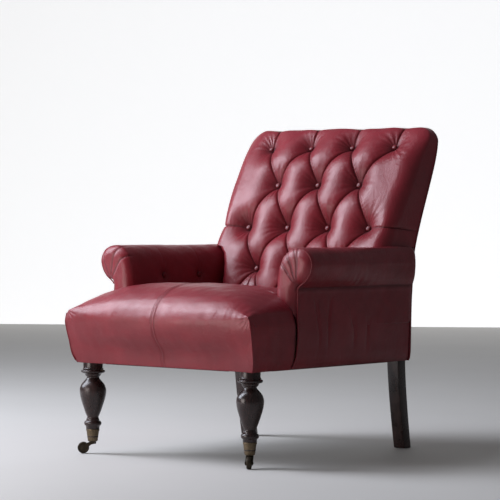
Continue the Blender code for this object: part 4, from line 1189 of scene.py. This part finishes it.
def make_outside_back():
    """Hide over the rear of the frame, gently slack, piped round its edge."""
    share, quads = block_net(150, 2, 170)
    a = 2 * share[:, 0] - 1
    b, c = share[:, 1], share[:, 2]
    z = BASE_Z + c * (TOP - 0.003 - BASE_Z)
    near_top = np.clip((z - TOP + 0.042) / 0.039, 0, 1)
    full = outside_back_half(z)
    corner = 0.042 * (1 - np.sqrt(np.maximum(1 - near_top**2, 0)))
    half = full - corner
    x = a * half
    slack = 0.0035 * np.cos(a * math.pi / 2) * np.sin(np.clip(c, 0, 1) * math.pi)
    y = back_rear(z) - 0.0030 + b * (0.0030 + slack)
    points = np.stack([x, y, z], 1)
    points[:, 1] += b * 0.0007 * drift(points, 0.16, 51)
    edge = np.maximum(np.abs(a), 1 - c)
    # painted shade along the piped edges
    fold = 0.4 * bell(edge - 1, 0.012)
    panel = mesh_object("outside_back", points, quads.tolist(), fold=fold, worn=np.full(len(fold), 0.2))
    keep_hide(panel, "outside_back", "outside_back_panel")
    line = []
    for z in np.arange(BASE_Z + 0.006, TOP - 0.042, 0.02):
        half = float(outside_back_half(z))
        line.append((half - 0.0005, float(back_rear(np.array(z))) - 0.0012, z))
    for k in range(1, 10):
        angle = math.pi / 2 * k / 9
        z = TOP - 0.045 + 0.041 * math.sin(angle)
        half = BODY_HALF + 0.0148 - 0.042 * (1 - math.cos(angle))
        line.append((half - 0.0005, float(back_rear(np.array(z))) - 0.0012, z))
    line += [(-x, y, z) for x, y, z in reversed(line)]
    cord = tube("back_edge", line, sizes().piping)
    keep_hide(cord, "outside_back_piping")


class ARMCHAIR_OT_outside(bpy.types.Operator):
    """Makes the outside arm panels and the outside back, with their piping"""

    bl_idname = "armchair.outside"
    bl_label = "Outside panels"

    def execute(self, context):
        for side, hand in SIDES:
            make_outside_arm(side, hand)
        make_outside_back()
        return {"FINISHED"}


# ---------------------------------------------------------------- legs
TURNED_LEG = [
    (0.0273, 0.0), (0.0273, 0.08), (0.0280, 0.088), (0.0292, 0.092), (0.0290, 0.099), (0.0278, 0.105), (0.0305, 0.111),
    (0.0330, 0.120), (0.0337, 0.130), (0.0334, 0.142), (0.0312, 0.154), (0.0262, 0.161), (0.0235, 0.170),
    (0.0222, 0.183), (0.0214, 0.197), (0.0178, 0.212), (0.0172, 0.222), (0.0180, 0.236), (0.0212, 0.258),
    (0.0258, 0.284), (0.0304, 0.312), (0.0338, 0.342), (0.0358, 0.372), (0.0368, 0.410), (0.0367, 0.450),
    (0.0355, 0.500), (0.0335, 0.548), (0.0306, 0.600), (0.0272, 0.656), (0.0240, 0.706), (0.0208, 0.756),
    (0.0176, 0.794), (0.0160, 0.812), (0.0158, 0.826), (0.0172, 0.842), (0.0180, 0.856), (0.0180, 0.868),
    (0.0200, 0.874), (0.0226, 0.886), (0.0238, 0.902), (0.0240, 0.920), (0.0230, 0.938), (0.0204, 0.949),
    (0.0190, 0.958), (0.0187, 0.995), (0.0160, 1.0), (0.0155, 1.12),
]  # radius, share of the way down from the seat to the castor cup


class ARMCHAIR_OT_front_legs(bpy.types.Operator):
    """Turns the two front legs"""

    bl_idname = "armchair.front_legs"
    bl_label = "Front legs"

    def execute(self, context):
        for side, hand in SIDES:
            drop = BASE_Z - CUP_HIGH[2]
            rings = [(radius, BASE_Z - share * drop) for radius, share in reversed(TURNED_LEG)]
            leg = lathe("leg", rings, sizes().lathe_steps)
            leg.location = (side * LEG_X, LEG_Y, 0)
            smooth(leg, 50)
            keep(leg, f"turned_leg_{hand}", "Leg wood", "dark_wood", "chair", f"front_leg_{hand}")
        return {"FINISHED"}


class ARMCHAIR_OT_rear_legs(bpy.types.Operator):
    """Shapes the two square raked rear legs"""

    bl_idname = "armchair.rear_legs"
    bl_label = "Rear legs"

    def execute(self, context):
        width, deep, rake, steps = 0.037, 0.0355, 0.038, 20
        foot_x = BODY_HALF - 0.013 - width / 2
        top_y = PANEL_HIGH[1] - deep / 2
        for side, hand in SIDES:
            deselect()
            bpy.ops.mesh.primitive_plane_add(size=1, location=(side * foot_x, top_y + rake, 0))
            leg = bpy.context.object
            leg.scale = (width, deep, 1)
            bpy.ops.object.transform_apply(location=True, rotation=False, scale=True)
            bpy.ops.object.mode_set(mode="EDIT")
            bpy.ops.mesh.select_all(action="SELECT")
            last = np.array((foot_x, rake, 0.0))
            for k in range(1, steps + 1):
                z = 0.016 * k
                share = min(z / BASE_Z, 1.0)
                now = np.array((foot_x + 0.0015 * share, rake * (1 - share) ** 1.35, z))
                move = now - last
                up = (side * move[0], move[1], move[2])
                bpy.ops.mesh.extrude_region_move(TRANSFORM_OT_translate={"value": up})
                middle = (side * now[0], top_y + now[1], now[2])
                bpy.ops.transform.resize(value=(1.0035, 1.0035, 1), center_override=middle)
                last = now
            face_outward(leg)
            apply_modifier(leg, "BEVEL", width=0.0028, segments=3, limit_method="ANGLE", angle_limit=math.radians(50))
            smooth(leg, 40)
            keep(leg, f"rear_leg_{hand}", "Leg wood", "dark_wood", "chair", f"rear_post_{hand}")
        return {"FINISHED"}


# ---------------------------------------------------------------- castors
WHEEL_HALF = [
    (0.0026, -0.0065), (0.0060, -0.0065), (0.0070, -0.0054), (0.0108, -0.0050), (0.0122, -0.0062), (0.0142, -0.0064),
    (0.0156, -0.0050), (0.0160, -0.0030),
]  # radius, distance from the wheel's middle along its axle
CUP_RINGS = [
    (0.62, 0.0), (0.71, 0.03), (0.74, 0.09), (0.80, 0.30), (0.88, 0.62), (0.925, 0.80), (0.93, 0.84), (0.985, 0.86),
    (1.0, 0.90), (1.0, 0.96), (0.985, 1.0), (0.93, 1.003),
]  # shares of the cup's radius and height


class ARMCHAIR_OT_castors(bpy.types.Operator):
    """Turns the castor cups and wheels; the frame step finishes the horns and axles"""

    bl_idname = "armchair.castors"
    bl_label = "Castors"

    def execute(self, context):
        steps = sizes().lathe_steps
        low, high = CUP_LOW[2], CUP_HIGH[2]
        tall = high - low
        radius = (CUP_HIGH[0] - CUP_LOW[0]) / 2
        rings = [(0.0050, low)] + [(radius * wide, low + tall * up) for wide, up in CUP_RINGS]
        wheel_rings = WHEEL_HALF + [(wide, -along) for wide, along in reversed(WHEEL_HALF)]
        for side, hand in SIDES:
            cup = lathe("cup", rings, steps)
            cup.location = (side * LEG_X, LEG_Y, 0)
            smooth(cup, 40)
            keep(cup, f"cup_{hand}", "Castor brass", "aged_brass", "chair", f"castor_cup_{hand}")
            place = middle_of(f"castor_wheel_{hand}")
            joint = next(j for j in frame["record"]["behaviour"]["joints"] if j["name"] == f"castor_roll_{hand}")
            axis = Vector(joint["axis"])
            wheel = lathe("wheel", wheel_rings, steps)
            wheel.rotation_euler = axis.to_track_quat("Z", "Y").to_euler()
            wheel.location = Vector(place)
            smooth(wheel, 35)
            finish = "Castor brass, blackened"
            keep(wheel, f"wheel_{hand}", finish, "aged_brass", f"wheel_{hand}", f"castor_wheel_{hand}")
        return {"FINISHED"}


# ---------------------------------------------------------------- frame and cloths carried over
NODE_FINISHES = {
    "red_leather": "Oxblood leather", "dark_wood": "Leg wood", "aged_brass": "Castor brass", "beech": "Frame beech",
    "foam": "Padding", "hessian": "Jute", "black_cambric": "Black cambric", "spring_steel": "Spring steel",
}


class ARMCHAIR_OT_frame(bpy.types.Operator):
    """Finishes the timber, springs, webbing and bottom cloth that the frame brings"""

    bl_idname = "armchair.frame"
    bl_label = "Frame and cloths"

    def execute(self, context):
        slots = {part["node"]: part["material_slot"] for part in frame["record"]["subparts"]}
        for name, node in frame["nodes"].items():
            finish = material(NODE_FINISHES[slots[name]])
            if "horn" in name or "axle" in name:
                finish = material("Castor brass, blackened")
            if not node.material_slots:
                node.data.materials.append(finish)
            for slot in node.material_slots:
                slot.material = finish
        return {"FINISHED"}


# ---------------------------------------------------------------- studio
LIGHTS = (
    ("window", (-2.9, -1.6, 2.3), (0, 0, 0.45), (2.2, 2.4), 165, (0.84, 0.89, 1.0)),
    ("skylight", (-1.6, -1.2, 3.1), (0, -0.2, 0.4), (1.8, 1.8), 66, (0.86, 0.89, 1.0)),
    ("low fill", (-0.7, -2.3, 0.45), (0, -0.4, 0.35), (1.2, 0.8), 17, (1.0, 0.91, 0.88)),
)  # name, place, what it points at, size, watts, colour
CAMERA_AZIMUTH, CAMERA_ELEVATION, CAMERA_ROLL = (math.radians(angle) for angle in (38.3, 1.816, 0.4035))
CAMERA_DISTANCE = 6.205
CAMERA_LENS = 159.45
CAMERA_SHIFT = (0.0221, 0.0835)


def soft_light(name, place, target, size, power, colour):
    data = bpy.data.lights.new(name, "AREA")
    data.shape = "RECTANGLE"
    data.size, data.size_y = size
    data.energy = power
    data.color = colour
    light = bpy.data.objects.new(name, data)
    light.location = place
    light.rotation_euler = (Vector(target) - Vector(place)).to_track_quat("-Z", "Y").to_euler()
    bpy.context.scene.collection.objects.link(light)


class ARMCHAIR_OT_studio(bpy.types.Operator):
    """Lays the floor, hangs the lights and sets up the camera"""

    bl_idname = "armchair.studio"
    bl_label = "Studio"

    def execute(self, context):
        scene = context.scene
        deselect()
        bpy.ops.mesh.primitive_plane_add(size=40, location=(0, 0, -0.0005))
        floor = bpy.context.object
        bpy.ops.object.transform_apply(location=True, rotation=False, scale=False)
        floor.name = "studio_floor"
        floor.data.materials.append(material("Studio floor"))
        world = bpy.data.worlds.new("Studio")
        world.use_nodes = True
        background = world.node_tree.nodes["Background"]
        background.inputs["Color"].default_value = (0.93, 0.95, 1, 1)
        background.inputs["Strength"].default_value = 0.13
        scene.world = world
        deselect()
        facing = (math.pi / 2, 0, CAMERA_AZIMUTH)
        bpy.ops.mesh.primitive_plane_add(size=1, location=(-4.65, 5.9, 2.2), rotation=facing)
        wall = bpy.context.object
        wall.scale = (7.0, 4.6, 1)
        wall.name = "studio_backdrop"
        wall.data.materials.append(material("Studio backdrop"))
        for light in LIGHTS:
            soft_light(*light)
        scene.view_settings.view_transform = "Standard"
        target = Vector((0, LEG_Y + 0.3, 0.45))
        level = math.cos(CAMERA_ELEVATION)
        toward = Vector((
            math.sin(CAMERA_AZIMUTH) * level, -math.cos(CAMERA_AZIMUTH) * level, math.sin(CAMERA_ELEVATION),
        ))
        data = bpy.data.cameras.new("camera")
        data.lens = CAMERA_LENS
        data.sensor_width = 36
        data.shift_x, data.shift_y = CAMERA_SHIFT
        camera = bpy.data.objects.new("camera", data)
        roll = Matrix.Rotation(CAMERA_ROLL, 4, "Z")
        turn = (-toward).to_track_quat("-Z", "Y").to_matrix().to_4x4()
        camera.matrix_world = Matrix.Translation(target + toward * CAMERA_DISTANCE) @ turn @ roll
        scene.collection.objects.link(camera)
        scene.camera = camera
        return {"FINISHED"}


# ---------------------------------------------------------------- add-on
OPERATORS = (
    ARMCHAIR_OT_frame, ARMCHAIR_OT_seat, ARMCHAIR_OT_back, ARMCHAIR_OT_buttons, ARMCHAIR_OT_arms, ARMCHAIR_OT_outside,
    ARMCHAIR_OT_front_legs, ARMCHAIR_OT_rear_legs, ARMCHAIR_OT_castors, ARMCHAIR_OT_studio,
)


class ARMCHAIR_PT_panel(bpy.types.Panel):
    """Sizes, colours and one button for each step"""

    bl_idname = "ARMCHAIR_PT_panel"
    bl_label = "Leather Armchair"
    bl_space_type = "VIEW_3D"
    bl_region_type = "UI"
    bl_category = "Armchair"

    def draw(self, context):
        for group in (context.scene.armchair_sizes, context.scene.armchair_colours):
            for key in group.__annotations__:
                self.layout.prop(group, key)
        for operator in OPERATORS:
            self.layout.operator(operator.bl_idname)


CLASSES = (ArmchairSizes, ArmchairColours, *OPERATORS, ARMCHAIR_PT_panel)


def register():
    for cls in CLASSES:
        bpy.utils.register_class(cls)
    bpy.types.Scene.armchair_sizes = PointerProperty(type=ArmchairSizes)
    bpy.types.Scene.armchair_colours = PointerProperty(type=ArmchairColours)


def unregister():
    del bpy.types.Scene.armchair_colours
    del bpy.types.Scene.armchair_sizes
    for cls in reversed(CLASSES):
        bpy.utils.unregister_class(cls)


def main():
    register()
    for operator in OPERATORS:
        group, action = operator.bl_idname.split(".")
        getattr(getattr(bpy.ops, group), action)()
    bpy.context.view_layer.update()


if __name__ == "__main__":
    main()
